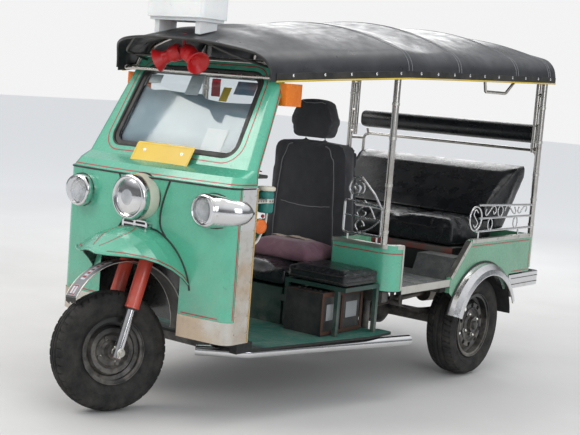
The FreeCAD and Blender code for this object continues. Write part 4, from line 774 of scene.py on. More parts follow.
def blow_up():
    """Run the cloth of every stuffed piece together, keep the shapes and put them in place of the CAD solids."""
    scene = bpy.context.scene
    for step in range(1, CLOTH_FRAMES + 1):
        scene.frame_set(step)
    for obj, *_, modifier, _ in SOFT:
        bake(obj, modifier)
    scene.frame_set(1)
    for obj, node, finish, fill, cap, modifier, rest in SOFT:
        if modifier is not None:
            for v, start in zip(obj.data.vertices, rest):
                move = v.co - start
                if move.length > cap:
                    v.co = start + move.normalized() * cap
        if node == "driver_back":
            for v in obj.data.vertices:
                v.co.x *= BACK_WIDENING
        modified(obj, "SUBSURF", levels=1)
        obj.vertex_groups.clear()
        obj.data.materials.append(LOOKS[finish])
        obj.data.shade_smooth()
        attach(obj, "body")
        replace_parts(obj, node)


def near(value, place, reach):
    """1 at a place, falling to 0 at reach from it."""
    return max(0.0, 1 - abs(value - place) / reach)


def tree_of(obj):
    mesh = obj.data
    return bvhtree.BVHTree.FromPolygons([v.co for v in mesh.vertices], [p.vertices for p in mesh.polygons])


def piping(name, soft, line, finish, radius):
    """Sewn cord that lies on a soft piece along a line near it."""
    tree = tree_of(soft)
    points = []
    for p in evened(smooth_line(line, 10), 0.008):
        place, normal, _, _ = tree.find_nearest(p)
        points.append(place + normal * radius * 0.45)
    Parts().add(sweep(points, disc(radius, 8))).make(name, finish, 60)


def back_pins(co):
    """The driver's backrest: held at its rear face, its side seams and the cross seam."""
    held = near(co.y, 0.165, 0.02)
    rim = near(abs(co.x), 0.165 - 0.05 * (co.z - 0.6), 0.012) * (co.y < 0.085)
    seam = near(co.z, 0.86, 0.011) * (abs(co.x) < 0.16) * (co.y < 0.1)
    return min(1.0, max(held, rim, seam))


def cushion_pins(co):
    return max(near(co.z, 0.5, 0.03), near(abs(co.x), 0.17, 0.011) * (co.z > 0.56))


def headrest_pins(co):
    return near(co.z, 1.19, 0.02)


def jump_pins(co):
    return max(near(co.z, 0.556, 0.02), near(co.z, 0.61, 0.006) * (co.y < -0.37 or co.x > 0.58))


def bench_pins(co):
    return max(near(co.z, 0.672, 0.035), near(abs(co.x), 0.187, 0.009) * (co.z > 0.78) * 0.9)


def bench_back_pins(co):
    return min(1.0, near(co.z, 0.81, 0.02) + (co.y > 1.2 + 0.6 * (co.z - 0.82)) * 0.9)


def roll_pins(co):
    return near(abs(co.x), 0.58, 0.012)


def loose_pins(co):
    return near(co.z, 0.6, 0.02) * 0.6


# Name, CAD node, finish, pins, fill, then shrink, voxel, pressure, cap and smoothing
driver_back = swollen("driver_backrest", "driver_back", "grey_fabric", back_pins, 0.8)
swollen("driver_seat_cushion", "driver_cushion", "black_vinyl", cushion_pins, 0.7)
headrest = swollen("driver_headrest", "headrest", "grey_fabric", headrest_pins, 0.9, 0.008, 0.010)
jump_pad = swollen("jump_seat_pad", "jump_pad", "black_vinyl", jump_pins, 0.7, 0.007, 0.010, 3, 0.012, 3)
bench_seat = swollen("passenger_cushion", "bench_cushion", "black_vinyl", bench_pins, 0.8, 0.010, 0.016, 3.2, 0.02, 4)
bench_rest = swollen("passenger_backrest", "bench_back", "black_vinyl", bench_back_pins,
                     0.8, 0.009, 0.016, 3.0, 0.02, 3)
swollen("passenger_roll", "roll", "black_vinyl", roll_pins, 0.95, 0.007, 0.013, 2.5, 0.01, 3)
loose_pad = swollen("driver_loose_cushion", "loose_cushion", "pink_fabric", loose_pins, 0.5, 0.006, 0.010, 4, 0.02, 5)
blow_up()

for side, hand in SIDES[::-1]:
    x = 0.17 * side
    piping(f"backrest_seam_{hand}", driver_back,
           [(x * 1.08, 0.03, 0.56), (x * 1.05, 0.03, 0.75), (x * 0.95, 0.03, 0.98), (x * 0.84, 0.03, 1.13),
            (x * 0.6, 0.035, 1.175)], "thread", 0.0022)
piping("backrest_cross_seam", driver_back, [(-0.155, 0.03, 0.86), (0, 0.02, 0.855), (0.155, 0.03, 0.86)],
       "thread", 0.0018)
piping("headrest_seam", headrest, [(-0.1, 0.05, 1.385), (0, 0.03, 1.395), (0.1, 0.05, 1.385)], "thread", 0.002)
for level, z in (("low", 0.575), ("high", 0.612)):
    edge = [(0.27, -0.41, z), (0.59, -0.41, z), (0.62, -0.38, z), (0.62, -0.12, z)]
    piping(f"jump_pad_piping_{level}", jump_pad, edge, "black_rubber", 0.003)
piping("bench_piping", bench_seat, [(-0.54, 0.61, 0.79), (0, 0.60, 0.79), (0.54, 0.61, 0.79)], "black_rubber", 0.0035)
for side, hand in SIDES[::-1]:
    x = 0.545 * side
    piping(f"bench_back_piping_{hand}", bench_rest,
           [(0.54 * side, 1.0, 0.86), (x, 1.15, 0.985), (x, 1.27, 1.075), (x, 1.35, 1.11)], "black_rubber", 0.0035)


def drape_cloth():
    """Tan cloth folded over the loose cushion against the backrest."""
    tree = tree_of(loose_pad)

    def place(x, y):
        hit = tree.ray_cast(Vector((x, y, 1.0)), Vector((0, 0, -1)))[0]
        top = hit.z if hit is not None else 0.67
        ripple = 0.0035 * math.sin(38 * x + 9 * y) + 0.002 * math.sin(71 * x)
        return x + 0.01 * math.sin(40 * y), y, top + 0.005 + ripple
    sheet = grid_sheet("seat_cloth", "tan_cloth", spaced(-0.09, 0.13, 21), spaced(-0.06, 0.04, 13), place, 0.0018)


drape_cloth()


# Roof cover

ROOF_ROWS = (
    # distance along, half width, edge height, crown height, as the cover's cross-sections
    (-1.100, 0.455, 1.438, 1.608), (-0.812, 0.458, 1.459, 1.677), (-0.583, 0.545, 1.482, 1.708),
    (-0.0775, 0.656, 1.522, 1.761), (0.367, 0.662, 1.537, 1.800), (0.967, 0.662, 1.555, 1.812),
    (1.3483, 0.662, 1.567, 1.798), (1.440, 0.655, 1.570, 1.770),
)
ROOF_SKIRT = 0.034
ROOF_SHOULDER = 0.105
PEAK_Y = -1.074
PEAK_SIDE = (0.470, -0.835)
SAG = 0.016
HEM_STEPS = 90


def roof_row(y):
    for first, second in zip(ROOF_ROWS, ROOF_ROWS[1:]):
        if y <= second[0] or second is ROOF_ROWS[-1]:
            t = max(0.0, (y - first[0]) / (second[0] - first[0]))
            return [a + (b - a) * t for a, b in zip(first[1:], second[1:])], t, first[0]
    return None


def arch_point(half, edge, crown, s):
    """A point of the roof's arch: s runs from -1 at one hem over 0 at the crown to 1 at the other hem."""
    shoulder = min(ROOF_SHOULDER, (crown - edge - ROOF_SKIRT) * 0.7)
    a = half - shoulder
    b = edge + ROOF_SKIRT - crown
    big = (a * a + b * b - shoulder * shoulder) / (-2 * (b + shoulder))
    knee = math.atan2((b + big) / (big - shoulder), a / (big - shoulder))
    lengths = [big * (math.pi / 2 - knee), shoulder * knee, ROOF_SKIRT]
    run = abs(s) * sum(lengths)
    sign = 1 if s >= 0 else -1
    if run < lengths[0]:
        angle = math.pi / 2 - run / big
        return Vector((sign * big * math.cos(angle), 0, crown - big + big * math.sin(angle)))
    run -= lengths[0]
    if run < lengths[1]:
        angle = knee - run / shoulder
        return Vector((sign * (a + shoulder * math.cos(angle)), 0, edge + ROOF_SKIRT + shoulder * math.sin(angle)))
    return Vector((sign * half, 0, edge + ROOF_SKIRT - (run - lengths[1])))


def peak_line(x):
    """The front edge's place along the vehicle at one distance from the middle."""
    depth = PEAK_SIDE[1] - PEAK_Y
    radius = (PEAK_SIDE[0] ** 2 + depth ** 2) / (2 * depth)
    return PEAK_Y + radius - math.sqrt(radius ** 2 - min(abs(x), PEAK_SIDE[0]) ** 2)


def cover_point(y, s, lift=0.0):
    """A point of the cover: the arch at y, sagging between the bows."""
    (half, edge, crown), t, start = roof_row(y)
    p = arch_point(half - 0.0012 + lift, edge, crown - 0.0012 + lift, s)
    dip = SAG if -0.09 <= start < 1.3 else SAG * 0.4
    hang = dip * math.sin(math.pi * t) ** 2 * (1 - abs(s) ** 6) * max(0.25, 1 - 0.35 * abs(s))
    p.z -= hang
    p.x *= 1 - 0.16 * hang * (abs(s) > 0.55)
    return Vector((p.x, y, p.z))


def front_edge(s):
    """How far ahead the cover reaches at one place across."""
    return peak_line(cover_point(-0.95, s).x)


def roof_cover():
    """One sheet from the peak to the tail, pulled over the bows and sagging between them."""
    across = spaced(-1, 1, 96)
    fronts = [front_edge(s) for s in across]
    verts = []
    for t in spaced(0, 1, 6):
        verts += [cover_point(y + (ROOF_ROWS[1][0] - y) * t, s) for s, y in zip(across, fronts)]
    for first, second in zip(ROOF_ROWS[1:], ROOF_ROWS[2:]):
        steps = max(3, int((second[0] - first[0]) / 0.035))
        for y in spaced(first[0], second[0], steps)[1:]:
            verts += [cover_point(y, s) for s in across]
    tail, edge = ROOF_ROWS[-1][0], ROOF_ROWS[-1][2]
    for share in spaced(0, 1, 8)[1:]:
        for s in across:
            p = cover_point(tail, s)
            belly = 0.004 * math.sin(math.pi * share) * (1 - s * s)
            verts.append((p.x * (1 - 0.004 * share), tail + 0.0035 + belly, edge + (p.z - edge) * (1 - share)))
    obj = piece("roof_cover", verts, grid_faces(len(verts) // len(across), len(across)), "roof_vinyl", 0)
    area = sum(p.area for p in obj.data.polygons)
    if sum(p.normal.z * p.area for p in obj.data.polygons) < 0:
        obj.data.flip_normals()
    modified(obj, "SOLIDIFY", thickness=0.0022)
    obj.data.shade_smooth()
    obj.data.set_sharp_from_angle(angle=math.radians(55))
    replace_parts(obj, "canopy")
    return obj, area


def hem_line(side, lift, drop):
    """A line along one side hem, from the first bow to the tail."""
    line = []
    for y in spaced(-0.82, 1.44, HEM_STEPS):
        half, edge, _ = roof_row(y)[0]
        line.append((side * (half + lift), y, edge + drop))
    return line


def side_hems():
    """Folded hem, piping and snaps along each side of the cover."""
    made = []
    for side, hand in SIDES:
        hem = sweep(hem_line(side, 0.0012, 0.017), strip(0.036, 0.0012), (side, 0, 0))
        made.append(Parts().add(hem).make(f"roof_hem_{hand}", "black_rubber", 30))
        cord = sweep(hem_line(side, 0.001, 0.0005), disc(0.0042, 10))
        made.append(Parts().add(cord).make(f"roof_piping_{hand}", "yellow_trim", 60))
        snaps = Parts()
        for y in spaced(-0.74, 1.36, 14):
            half, edge, _ = roof_row(y)[0]
            snaps.add(lathe([(0, 0), (0, 0.0075), (0.0018, 0.0075), (0.004, 0.005), (0.0048, 0)],
                            (side * (half + 0.002), y, edge + 0.024), (side, 0, 0), 14))
        made.append(snaps.make(f"roof_snaps_{hand}", "chrome", 40))
    return made


def peak_hem():
    """Rolled edge along the front of the cover, over the windscreen."""
    line = [cover_point(front_edge(s), s) + Vector((0, -0.001, -0.003)) for s in spaced(-0.97, 0.97, 60)]
    return Parts().add(sweep(line, disc(0.0065, 10))).make("roof_peak_hem", "black_rubber", 60)


def rear_piping():
    line = [(x, 1.4435, 1.5705) for x in spaced(-0.65, 0.65, 39)]
    return Parts().add(sweep(line, disc(0.0042, 10))).make("roof_piping_rear", "yellow_trim", 60)


def bow_welts():
    """Sewn welts in the cover above each bow."""
    welts = Parts()
    for row in ROOF_ROWS[3:-1]:
        for offset in (-0.012, 0.012):
            line = [cover_point(row[0] + offset, s, 0.0006) for s in spaced(-0.97, 0.97, 80)]
            welts.add(sweep(line, disc(0.0014, 6)))
    return welts.make("roof_welts", "thread", 60)


cover, cover_area = roof_cover()
cover_edges = [*side_hems(), peak_hem(), rear_piping(), bow_welts()]


# Paint lines, seams and trims

NOSE = surface("cab_nose")
UPPER = surface("cab_upper")
BEFORE = -1.3  # rays start here, ahead of the nose
BESIDE = 0.8  # and here, beside the cab and the tub
BEAD = disc(0.0045, 8)
LINE = strip(0.0055, 0.0006)
FENDER_R = 0.3005
FENDER_CZ = 0.502
lines = Parts()


def laid(tree, points, way, section, parts):
    """Lay a section on a surface along the points, seen along way."""
    hits, normals = cast(tree, evened(smooth_line(points, 8), 0.008), way)
    if len(hits) > 1:
        parts.add(sweep(hits, section, normals))


def round_corner(tree, centre, first, last, section, parts, steps):
    """Lay a section on a surface round a point inside it, between two angles in degrees."""
    hits = []
    normals = []
    for angle in spaced(first, last, steps):
        angle = math.radians(angle)
        way = Vector((-math.sin(angle), math.cos(angle), 0))
        place, normal, _, _ = tree.ray_cast(Vector(centre) - way, way)
        if place is not None:
            hits.append(place)
            normals.append(normal if normal.dot(way) < 0 else -normal)
    parts.add(sweep(hits, section, normals))


def on_fender_plane(side, radius, degrees):
    angle = math.radians(degrees)
    return side * radius * math.sin(angle), BEFORE, FENDER_CZ + FENDER_R * math.cos(angle)


def nose_seams():
    """Rubber beads by the lamp pod, over the fender and at the belt, and red lines at the doors and low down."""
    seams = Parts()
    for side, _ in SIDES:
        pod = ((0.152, 1.010), (0.128, 0.945), (0.110, 0.87), (0.113, 0.81), (0.145, 0.766))
        laid(NOSE, [(side * x, BEFORE, z) for x, z in pod], BEHIND, BEAD, seams)
        laid(NOSE, [on_fender_plane(side, FENDER_R, a) for a in spaced(27, 79, 24)], BEHIND, BEAD, seams)
        laid(NOSE, [on_fender_plane(side, FENDER_R + 0.001, a) for a in (1, 9, 18, 27)], BEHIND, BEAD, seams)
        laid(NOSE, [(side * 0.7, -1.043, z) for z in (1.006, 0.85, 0.65, 0.46)], (-side, 0, 0), LINE, lines)
        laid(NOSE, [(side * x, BEFORE, 0.462) for x in (0.255, 0.35, 0.45)], BEHIND, LINE, lines)
    round_corner(NOSE, (0, -0.9, 1.0105), -84, 84, disc(0.0042, 8), seams, 140)
    round_corner(UPPER, (0, -0.9, 1.026), -85, 85, LINE, lines, 140)
    seams.make("nose_seams", "black_rubber", 60)


nose_seams()


FENDER_ROWS = (
    # distance ahead, half width, height of the lip and of the crown
    (0.0, 0.292, 0.562, 0.800), (0.050, 0.284, 0.612, 0.800), (0.100, 0.268, 0.648, 0.796),
    (0.150, 0.238, 0.676, 0.786), (0.200, 0.200, 0.693, 0.769), (0.250, 0.155, 0.699, 0.744),
    (0.300, 0.098, 0.700, 0.720), (0.330, 0.040, 0.702, 0.711),
)


def fender_point(ahead, share):
    """A point of the front mudguard's outside: share runs from 0 at the ridge to 1 at the lip."""
    for first, second in zip(FENDER_ROWS, FENDER_ROWS[1:]):
        if ahead <= second[0]:
            break
    t = min(1.0, (ahead - first[0]) / (second[0] - first[0]))
    half, lip, crown = (a + (b - a) * t for a, b in zip(first[1:], second[1:]))
    rise = crown - lip
    radius = (half * half + rise * rise) / (2 * rise)
    full = math.asin(min(1.0, half / radius))
    if rise > half:
        full = math.pi - full
    angle = abs(share) * full
    sign = 1 if share >= 0 else -1
    normal = Vector((sign * math.sin(angle), -0.35, math.cos(angle))).normalized()
    place = Vector((sign * radius * math.sin(angle), -1.076 - ahead, crown - radius + radius * math.cos(angle)))
    return place, normal


def on_fender(pairs, section, parts, lift=0.0):
    places = [fender_point(a, s) for a, s in pairs]
    parts.add(sweep([p + n * lift for p, n in places], section, [n for _, n in places]))


def fender_lines():
    """Red line inside the lip, two curves to the ridge, and the rolled lip itself."""
    lip = Parts()
    for side, _ in SIDES:
        on_fender([(ahead, side * 0.994) for ahead in spaced(0.006, 0.328, 60)], disc(0.0045, 8), lip)
        stripe = []
        for ahead in spaced(0.012, 0.294, 60):
            tuck = 0.055 * (ahead / 0.3) ** 2 + 0.24 * max(0.0, (ahead - 0.2) / 0.1) ** 2
            stripe.append((ahead, side * (0.955 - tuck)))
        on_fender(stripe, LINE, lines, 0.0002)
        curl = [(0.285 - 0.2 * t ** 1.3, side * (0.14 + 0.24 * t - 0.30 * t ** 3)) for t in spaced(0, 1, 30)]
        on_fender(curl, strip(0.004, 0.0006), lines, 0.0002)
    on_fender([(0.3285, share) for share in spaced(-0.99, 0.99, 20)], disc(0.0045, 8), lip)
    lip.make("fender_lip", "mint_paint", 60)


fender_lines()


def screen_frame():
    """The windscreen's lower edge, its length, the way up along it and the way out of it."""
    low = Vector((0, -0.943, 1.108))
    slope = Vector((0, -0.743, 1.487)) - low
    up = slope.normalized()
    return low, slope.length, up, Vector(OUTWARD).cross(up)


def rounded_outline(corners, radius, steps):
    """Pairs (across, up) round an outline with these centres of its corners, from the lower one at +X."""
    return [(x + radius * math.cos(math.radians(a)), z + radius * math.sin(math.radians(a)))
            for (x, z), first in zip(corners, (-90, 0, 90, 180)) for a in spaced(first, first + 90, steps)]


def screen_loop(grow, lift):
    """Rounded outline round the windscreen, outside it by grow."""
    low, height, up, out = screen_frame()
    r = 0.075 + grow
    below, above = 0.381 + grow - r, 0.365 + grow - r
    corners = ((below, r - grow), (above, height + grow - r), (-above, height + grow - r), (-below, r - grow))
    return [low + Vector((x, 0, 0)) + up * z + out * lift for x, z in rounded_outline(corners, r, 10)], out


def screen_lines():
    """Red line round the windscreen and up the door posts, and the seal's two beads."""
    loop, out = screen_loop(0.022, 0.3)
    hits, normals = cast(UPPER, evened_ring(loop), -out)
    lines.add(sweep(hits, LINE, normals, True))
    bead = Parts()
    for grow, lift, section in ((-0.004, 0.0135, disc(0.008, 10)), (-0.029, 0.008, disc(0.005, 8))):
        bead.add(sweep(evened_ring(screen_loop(grow, lift)[0]), section, out, True))
    bead.make("windscreen_bead", "black_rubber", 60)
    for side, _ in SIDES:
        post = [(side * BESIDE, y, z) for y, z in ((-0.945, 1.03), (-0.935, 1.09), (-0.85, 1.25), (-0.75, 1.455))]
        laid(UPPER, post, (-side, 0, 0), LINE, lines)


screen_lines()


def tub_lines():
    """Red lines under the caps of the tub's wings and side walls."""
    wings = surface("tub_front")
    walls = surface("side_walls")
    for side, _ in SIDES:
        laid(wings, [(side * x, -0.3, 0.700) for x in (0.31, 0.4, 0.5, 0.57)], BEHIND, LINE, lines)
        round_corner(wings, (side * 0.578, -0.008, 0.700), 0, side * 90, LINE, lines, 19)
        for run in (((0.66, 0.698), (1.31, 0.698)), ((1.12, 0.532), (1.32, 0.532)), ((1.318, 0.54), (1.318, 0.695))):
            laid(walls, [(side * BESIDE, y, z) for y, z in run], (-side, 0, 0), LINE, lines)
    lines.make("paint_lines", "stripe_red", 40)


tub_lines()


def folded(depth):
    """Section of a folded steel cap that reaches down by depth on both sides."""
    return [(-0.0145, -depth), (-0.0145, 0.0015), (0.0145, 0.0015), (0.0145, -depth), (0.0132, -depth),
            (0.0132, 0.0002), (-0.0132, 0.0002), (-0.0132, -depth)]


def caps():
    """Folded steel caps on the tub's wings, side walls and sills, with screws."""
    steel = Parts()
    screws = Parts()
    cap = folded(0.018)
    for side, _ in SIDES:
        x = side * 0.6475
        wing = [(side * 0.302, -0.0775, 0.739), (side * 0.572, -0.0775, 0.739)]
        for degrees in spaced(9, 90, 9):
            a = math.radians(degrees)
            wing.append((side * (0.5725 + 0.075 * math.sin(a)), -0.0025 - 0.075 * math.cos(a), 0.739))
        steel.add(sweep(wing, cap, UP))
        steel.add(sweep(evened([(x, 0.653, 0.7305), (x, 1.325, 0.7305)], 0.1), cap, UP))
        steel.add(sweep([(x, 0.465, 0.551), (x, 0.485, 0.571), (x, 0.64, 0.7265)], cap, (0, -0.72, 0.7)))
        steel.add(sweep([(x, -0.0025, z) for z in (0.735, 0.63, 0.525)], folded(0.012), BEHIND))
        sill = [(side * 0.6612, y, 0.523) for y in (0.0, 0.15, 0.3, 0.455)]
        steel.add(sweep(sill, slab(0.036, 0.0016), (side, 0, 0)))
        for y, z in ((0.69, 0.722), (0.93, 0.722), (1.17, 0.722), (1.30, 0.722), (0.5, 0.575), (0.58, 0.655)):
            screws.add(bolt((side * 0.6625, y, z), (side, 0, 0), 0.0045, 0.002))
    steel.make("tub_caps", "zinc", 30)
    screws.make("tub_screws", "zinc", 30)


caps()


def door_angles():
    """Bright angle along the rear edge of each steel strip, and two rows of screws."""
    metal = Parts()
    screws = Parts()
    for side, _ in SIDES:
        metal.add(sweep([(side * 0.5018, -0.9395, z) for z in (0.36, 0.5, 0.7, 0.9, 1.012)], disc(0.004, 8)))
        for z in spaced(0.40, 0.98, 8):
            screws.add(bolt((side * 0.5030, -0.949, z), (side, 0, 0), 0.0022, 0.001))
            screws.add(bolt((side * 0.5030, -1.028, z), (side, 0, 0), 0.0018, 0.001))
    metal.make("door_angles", "brass", 50)
    screws.make("door_screws", "zinc", 30)


door_angles()


# Lamps and plate

HEADLAMP = Vector((0, -1.179, 0.924))
CORNER_Z = 0.910
TORPEDO = (
    # place across and along the vehicle, radius
    (0.377, -1.128, 0.0650), (0.381, -1.113, 0.0695), (0.392, -1.090, 0.0712), (0.412, -1.070, 0.0705),
    (0.445, -1.052, 0.0680), (0.472, -1.034, 0.0620), (0.492, -1.012, 0.0510), (0.503, -0.994, 0.0370),
    (0.510, -0.981, 0.0210), (0.513, -0.974, 0.0040),
)


def dome(radius, depth, steps):
    """Profile of a lens with a flat back that bulges by depth in front."""
    front = [(depth * (1 - (r / radius) ** 2) + 0.001, r) for r in spaced(radius, 0, steps)]
    return [(-0.002, 0), (-0.002, radius)] + front


def turned(name, finish, smooth, profile, centre, axis=AHEAD, segments=48):
    """A piece of one turned shape."""
    return Parts().add(lathe(profile, centre, axis, segments)).make(name, finish, smooth)


def head_lamp():
    """Bulged lens, chrome ring, cream case with three screws and rubber gasket of the middle lamp."""
    face = HEADLAMP - Vector((0, 0.004, 0))
    turned("headlamp_lens", "lens", 60, dome(0.079, 0.0195, 12), face)
    profile = [(-0.004, 0.079), (0.010, 0.080), (0.0135, 0.085), (0.013, 0.091), (0.007, 0.0965), (-0.006, 0.0985),
               (-0.020, 0.0985), (-0.020, 0.0965)]
    turned("headlamp_ring", "chrome", 50, profile, face, AHEAD, 64)
    profile = [(-0.022, 0.0984), (-0.020, 0.1005), (-0.070, 0.1012), (-0.078, 0.0984)]
    case = Parts().add(lathe(profile, HEADLAMP, AHEAD, 64))
    for a in turns(3, math.radians(40)):
        out = Vector((math.sin(a), 0, math.cos(a)))
        case.add(bolt(HEADLAMP + out * 0.1 + Vector((0, 0.034, 0)), out, 0.004, 0.002))
    case.make("headlamp_case", "cream", 40)
    profile = [(-0.078, 0.0984), (-0.078, 0.1045), (-0.085, 0.1045), (-0.085, 0.0984)]
    turned("headlamp_gasket", "black_rubber", 40, profile, HEADLAMP, AHEAD, 64)


head_lamp()


def ornament_slot_shade():
    """Dark blocks at the bottom of the four slots in the chrome moulding under the middle lamp, as painted shade."""
    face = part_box("grille_ornament")[0][1]
    floor = Parts()
    for z0, z1 in ((0.7922, 0.8018), (0.8102, 0.8198)):
        for x0, x1 in ((-0.0638, -0.0062), (0.0062, 0.0638)):
            floor.add(bevel_box((x0, face + 0.0025, z0), (x1, face + 0.0125, z1), 0.003))
    floor.make("ornament_slot_shade", "dark_paint", 30)

ornament_slot_shade()


def torpedo(side, sides=56):
    """Rings of a lamp body that starts at its lens and narrows to a rounded tail round the corner."""
    rows = smooth_line(TORPEDO, 6)
    rings = []
    for i, row in enumerate(rows):
        after = rows[min(i + 1, len(rows) - 1)]
        before = rows[max(i - 1, 0)]
        run = Vector((after.x - before.x, after.y - before.y, 0)).normalized()
        across = Vector((run.y, -run.x, 0))
        ring = []
        for a in turns(sides):
            p = Vector((row.x, row.y, CORNER_Z)) + across * row.z * math.cos(a) + Vector((0, 0, row.z * math.sin(a)))
            ring.append(Vector((side * p.x, p.y, p.z)))
        rings.append(ring)
    faces = grid_faces(len(rings), sides, False, True)
    faces.append(list(range(sides)))
    faces.append([(len(rings) - 1) * sides + k for k in range(sides)])
    return rings, faces


def sunk_place(line, skin):
    """Where a line of the lamp's body goes into the cab's skin."""
    for p in line[2:]:
        place, normal, _, _ = skin.find_nearest(p)
        if (p - place).dot(normal) < 0:
            return place
    return line[-1]


def corner_lamps():
    """Lens, ring and torpedo body of the two corner lamps, and a gasket where each body meets the cab."""
    for side, hand in SIDES:
        centre = Vector((side * 0.377, -1.128, CORNER_Z))
        turned(f"corner_lens_{hand}", "lens", 60, dome(0.056, 0.020, 9), centre, AHEAD, 40)
        profile = [(-0.002, 0.0555), (0.006, 0.056), (0.0105, 0.060), (0.009, 0.066), (0.002, 0.0705),
                   (-0.012, 0.0718), (-0.012, 0.066)]
        turned(f"corner_ring_{hand}", "chrome", 50, profile, centre, AHEAD, 56)
    gaskets = Parts()
    skin = surface("cab_nose", "cab_cladding")
    for side, hand in SIDES:
        rings, faces = torpedo(side)
        body = piece(f"corner_lamp_{hand}", [p for ring in rings for p in ring], faces, "chrome", 60)
        if side > 0:
            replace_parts(body, "side_lamps")
        rim = [sunk_place(line, skin) for line in zip(*rings)]
        count = len(rim)
        smooth = [sum((rim[(i + d) % count] for d in (-1, 0, 1)), Vector()) / 3 for i in range(count)]
        gaskets.add(sweep(smooth, disc(0.0045, 8), None, True))
    gaskets.make("corner_gaskets", "black_rubber", 60)


corner_lamps()


def plate_trim():
    """Pressed rim and two fixing bolts on the number plate, which stays blank."""
    tilt = math.radians(31)
    up = Vector((0, math.sin(tilt), math.cos(tilt)))
    out = Vector((0, -math.cos(tilt), math.sin(tilt)))
    middle = Vector((0, -1.013, 1.086)) + out * 0.0022
    corners = ((0.152, -0.057), (0.152, 0.057), (-0.152, 0.057), (-0.152, -0.057))
    loop = [middle + Vector((x, 0, 0)) + up * z for x, z in rounded_outline(corners, 0.010, 5)]
    rim = Parts().add(sweep(evened_ring(loop), strip(0.004, 0.0009), out, True))
    rim.make("plate_rim", "yellow_paint", 50)
    bolts = Parts()
    for x in (-0.11, 0.11):
        bolts.add(bolt(middle + Vector((x, 0, 0)) + up * 0.035, out, 0.0055, 0.003))
    bolts.make("plate_bolts", "zinc", 30)


plate_trim()


# Inside the windscreen

CARDS = (
    # name, finish, place across and up the glass, width, height
    ("card_low", "sticker", 0.205, 0.085, 0.115, 0.12), ("card_blue", "dark_sticker", 0.262, 0.352, 0.115, 0.065),
    ("card_top", "sticker", -0.035, 0.355, 0.08, 0.115), ("card_small", "yellow_trim", 0.16, 0.315, 0.045, 0.07),
    ("card_right", "sticker", -0.285, 0.365, 0.075, 0.045),
)


def behind_glass():
    """Dash shelf with a pale cloth, plain paper cards on the glass, a pennant and a thin stalk."""
    shelf = Parts().add(bevel_box((-0.44, -0.985, 1.045), (0.44, -0.80, 1.060), 0.005))
    shelf.make("dash_shelf", "dark_paint", 30)

    def place(x, y):
        return x, y, 1.0625 + 0.0025 * math.sin(21 * x + 30 * y) + 0.0015 * math.sin(60 * x)
    sheet = grid_sheet("dash_cloth", "pale_cloth", spaced(-0.39, 0.39, 39), spaced(-0.968, -0.803, 9), place, 0.0016)
    low, _, up, out = screen_frame()
    turn = Matrix((Vector(OUTWARD), up, out)).transposed().to_4x4()
    for name, finish, x, z, width, height in CARDS:
        corner = Vector((width / 2, height / 2, 0.0007))
        matrix = Matrix.Translation(low + up * z - out * 0.0035 + Vector((x, 0, 0))) @ turn
        Parts().add(bevel_box(-corner, corner, 0.0004, matrix)).make(name, finish, 30)
    pennant = Parts().add(bevel_box((0.058, -0.772, 1.372), (0.108, -0.766, 1.452), 0.003))
    pennant.add(sweep([(0.083, -0.769, 1.452), (0.083, -0.769, 1.462), (0.083, -0.766, 1.475)], disc(0.0012, 6)))
    pennant.make("red_pennant", "stripe_red", 40)
    stalk = smooth_line([(-0.06, -0.80, 1.065), (-0.062, -0.79, 1.25), (-0.05, -0.765, 1.42)], 8)
    Parts().add(sweep(stalk, disc(0.003, 8))).make("shelf_stalk", "zinc", 60)


behind_glass()


# Scrolls and clamps

CURL = disc(0.0037, 8)
FRONT_PLANE = -0.078
WALL_PLANE = 0.646
FRONT_CURLS = (
    # steps from point to point, then the points: across and height
    (8, ((0.455, 0.90), (0.425, 0.872), (0.452, 0.852), (0.474, 0.874), (0.455, 0.886))),
    (6, ((0.462, 0.935), (0.50, 0.90), (0.53, 0.852))),
    (8, ((0.552, 0.842), (0.50, 0.80), (0.446, 0.782), (0.420, 0.812), (0.446, 0.838), (0.470, 0.815),
         (0.448, 0.806))),
)
WALL_CURLS = (
    # steps from point to point, then the points: along and height
    (8, ((0.712, 0.868), (0.69, 0.885), (0.668, 0.862), (0.69, 0.838), (0.712, 0.814), (0.69, 0.791),
         (0.668, 0.808))),
    (7, ((0.80, 0.885), (0.79, 0.865), (0.81, 0.852), (0.865, 0.895), (0.895, 0.893), (0.905, 0.868), (0.885, 0.856),
         (0.872, 0.874))),
    (7, ((1.005, 0.868), (1.02, 0.892), (1.05, 0.893), (1.115, 0.850), (1.135, 0.862), (1.12, 0.885))),
    (7, ((1.17, 0.885), (1.16, 0.862), (1.185, 0.852), (1.235, 0.888), (1.262, 0.878), (1.25, 0.857))),
)
OVALS = (
    # along, height, half length, half height, points
    (0.955, 0.869, 0.028, 0.029, 20), (0.85, 0.802, 0.024, 0.031, 18), (1.14, 0.802, 0.024, 0.031, 18),
)
CLAMP = [(-0.007, 0.0162), (-0.007, 0.0182), (0.007, 0.0182), (0.007, 0.0162)]
CLAMPED_POSTS = (
    # across, along, heights
    (0.590, -0.0775, (0.80, 0.90, 1.02, 1.24, 1.40)), (0.640, 1.3483, (0.78, 0.92, 1.06, 1.24, 1.43)),
)


def coil(t):
    """Across and height of the front scroll's rolled end."""
    angle = math.radians(250) + 2 * math.pi * 1.35 * t
    radius = 0.040 - 0.030 * t
    return 0.424 + radius * math.cos(angle), 0.993 + radius * math.sin(angle)


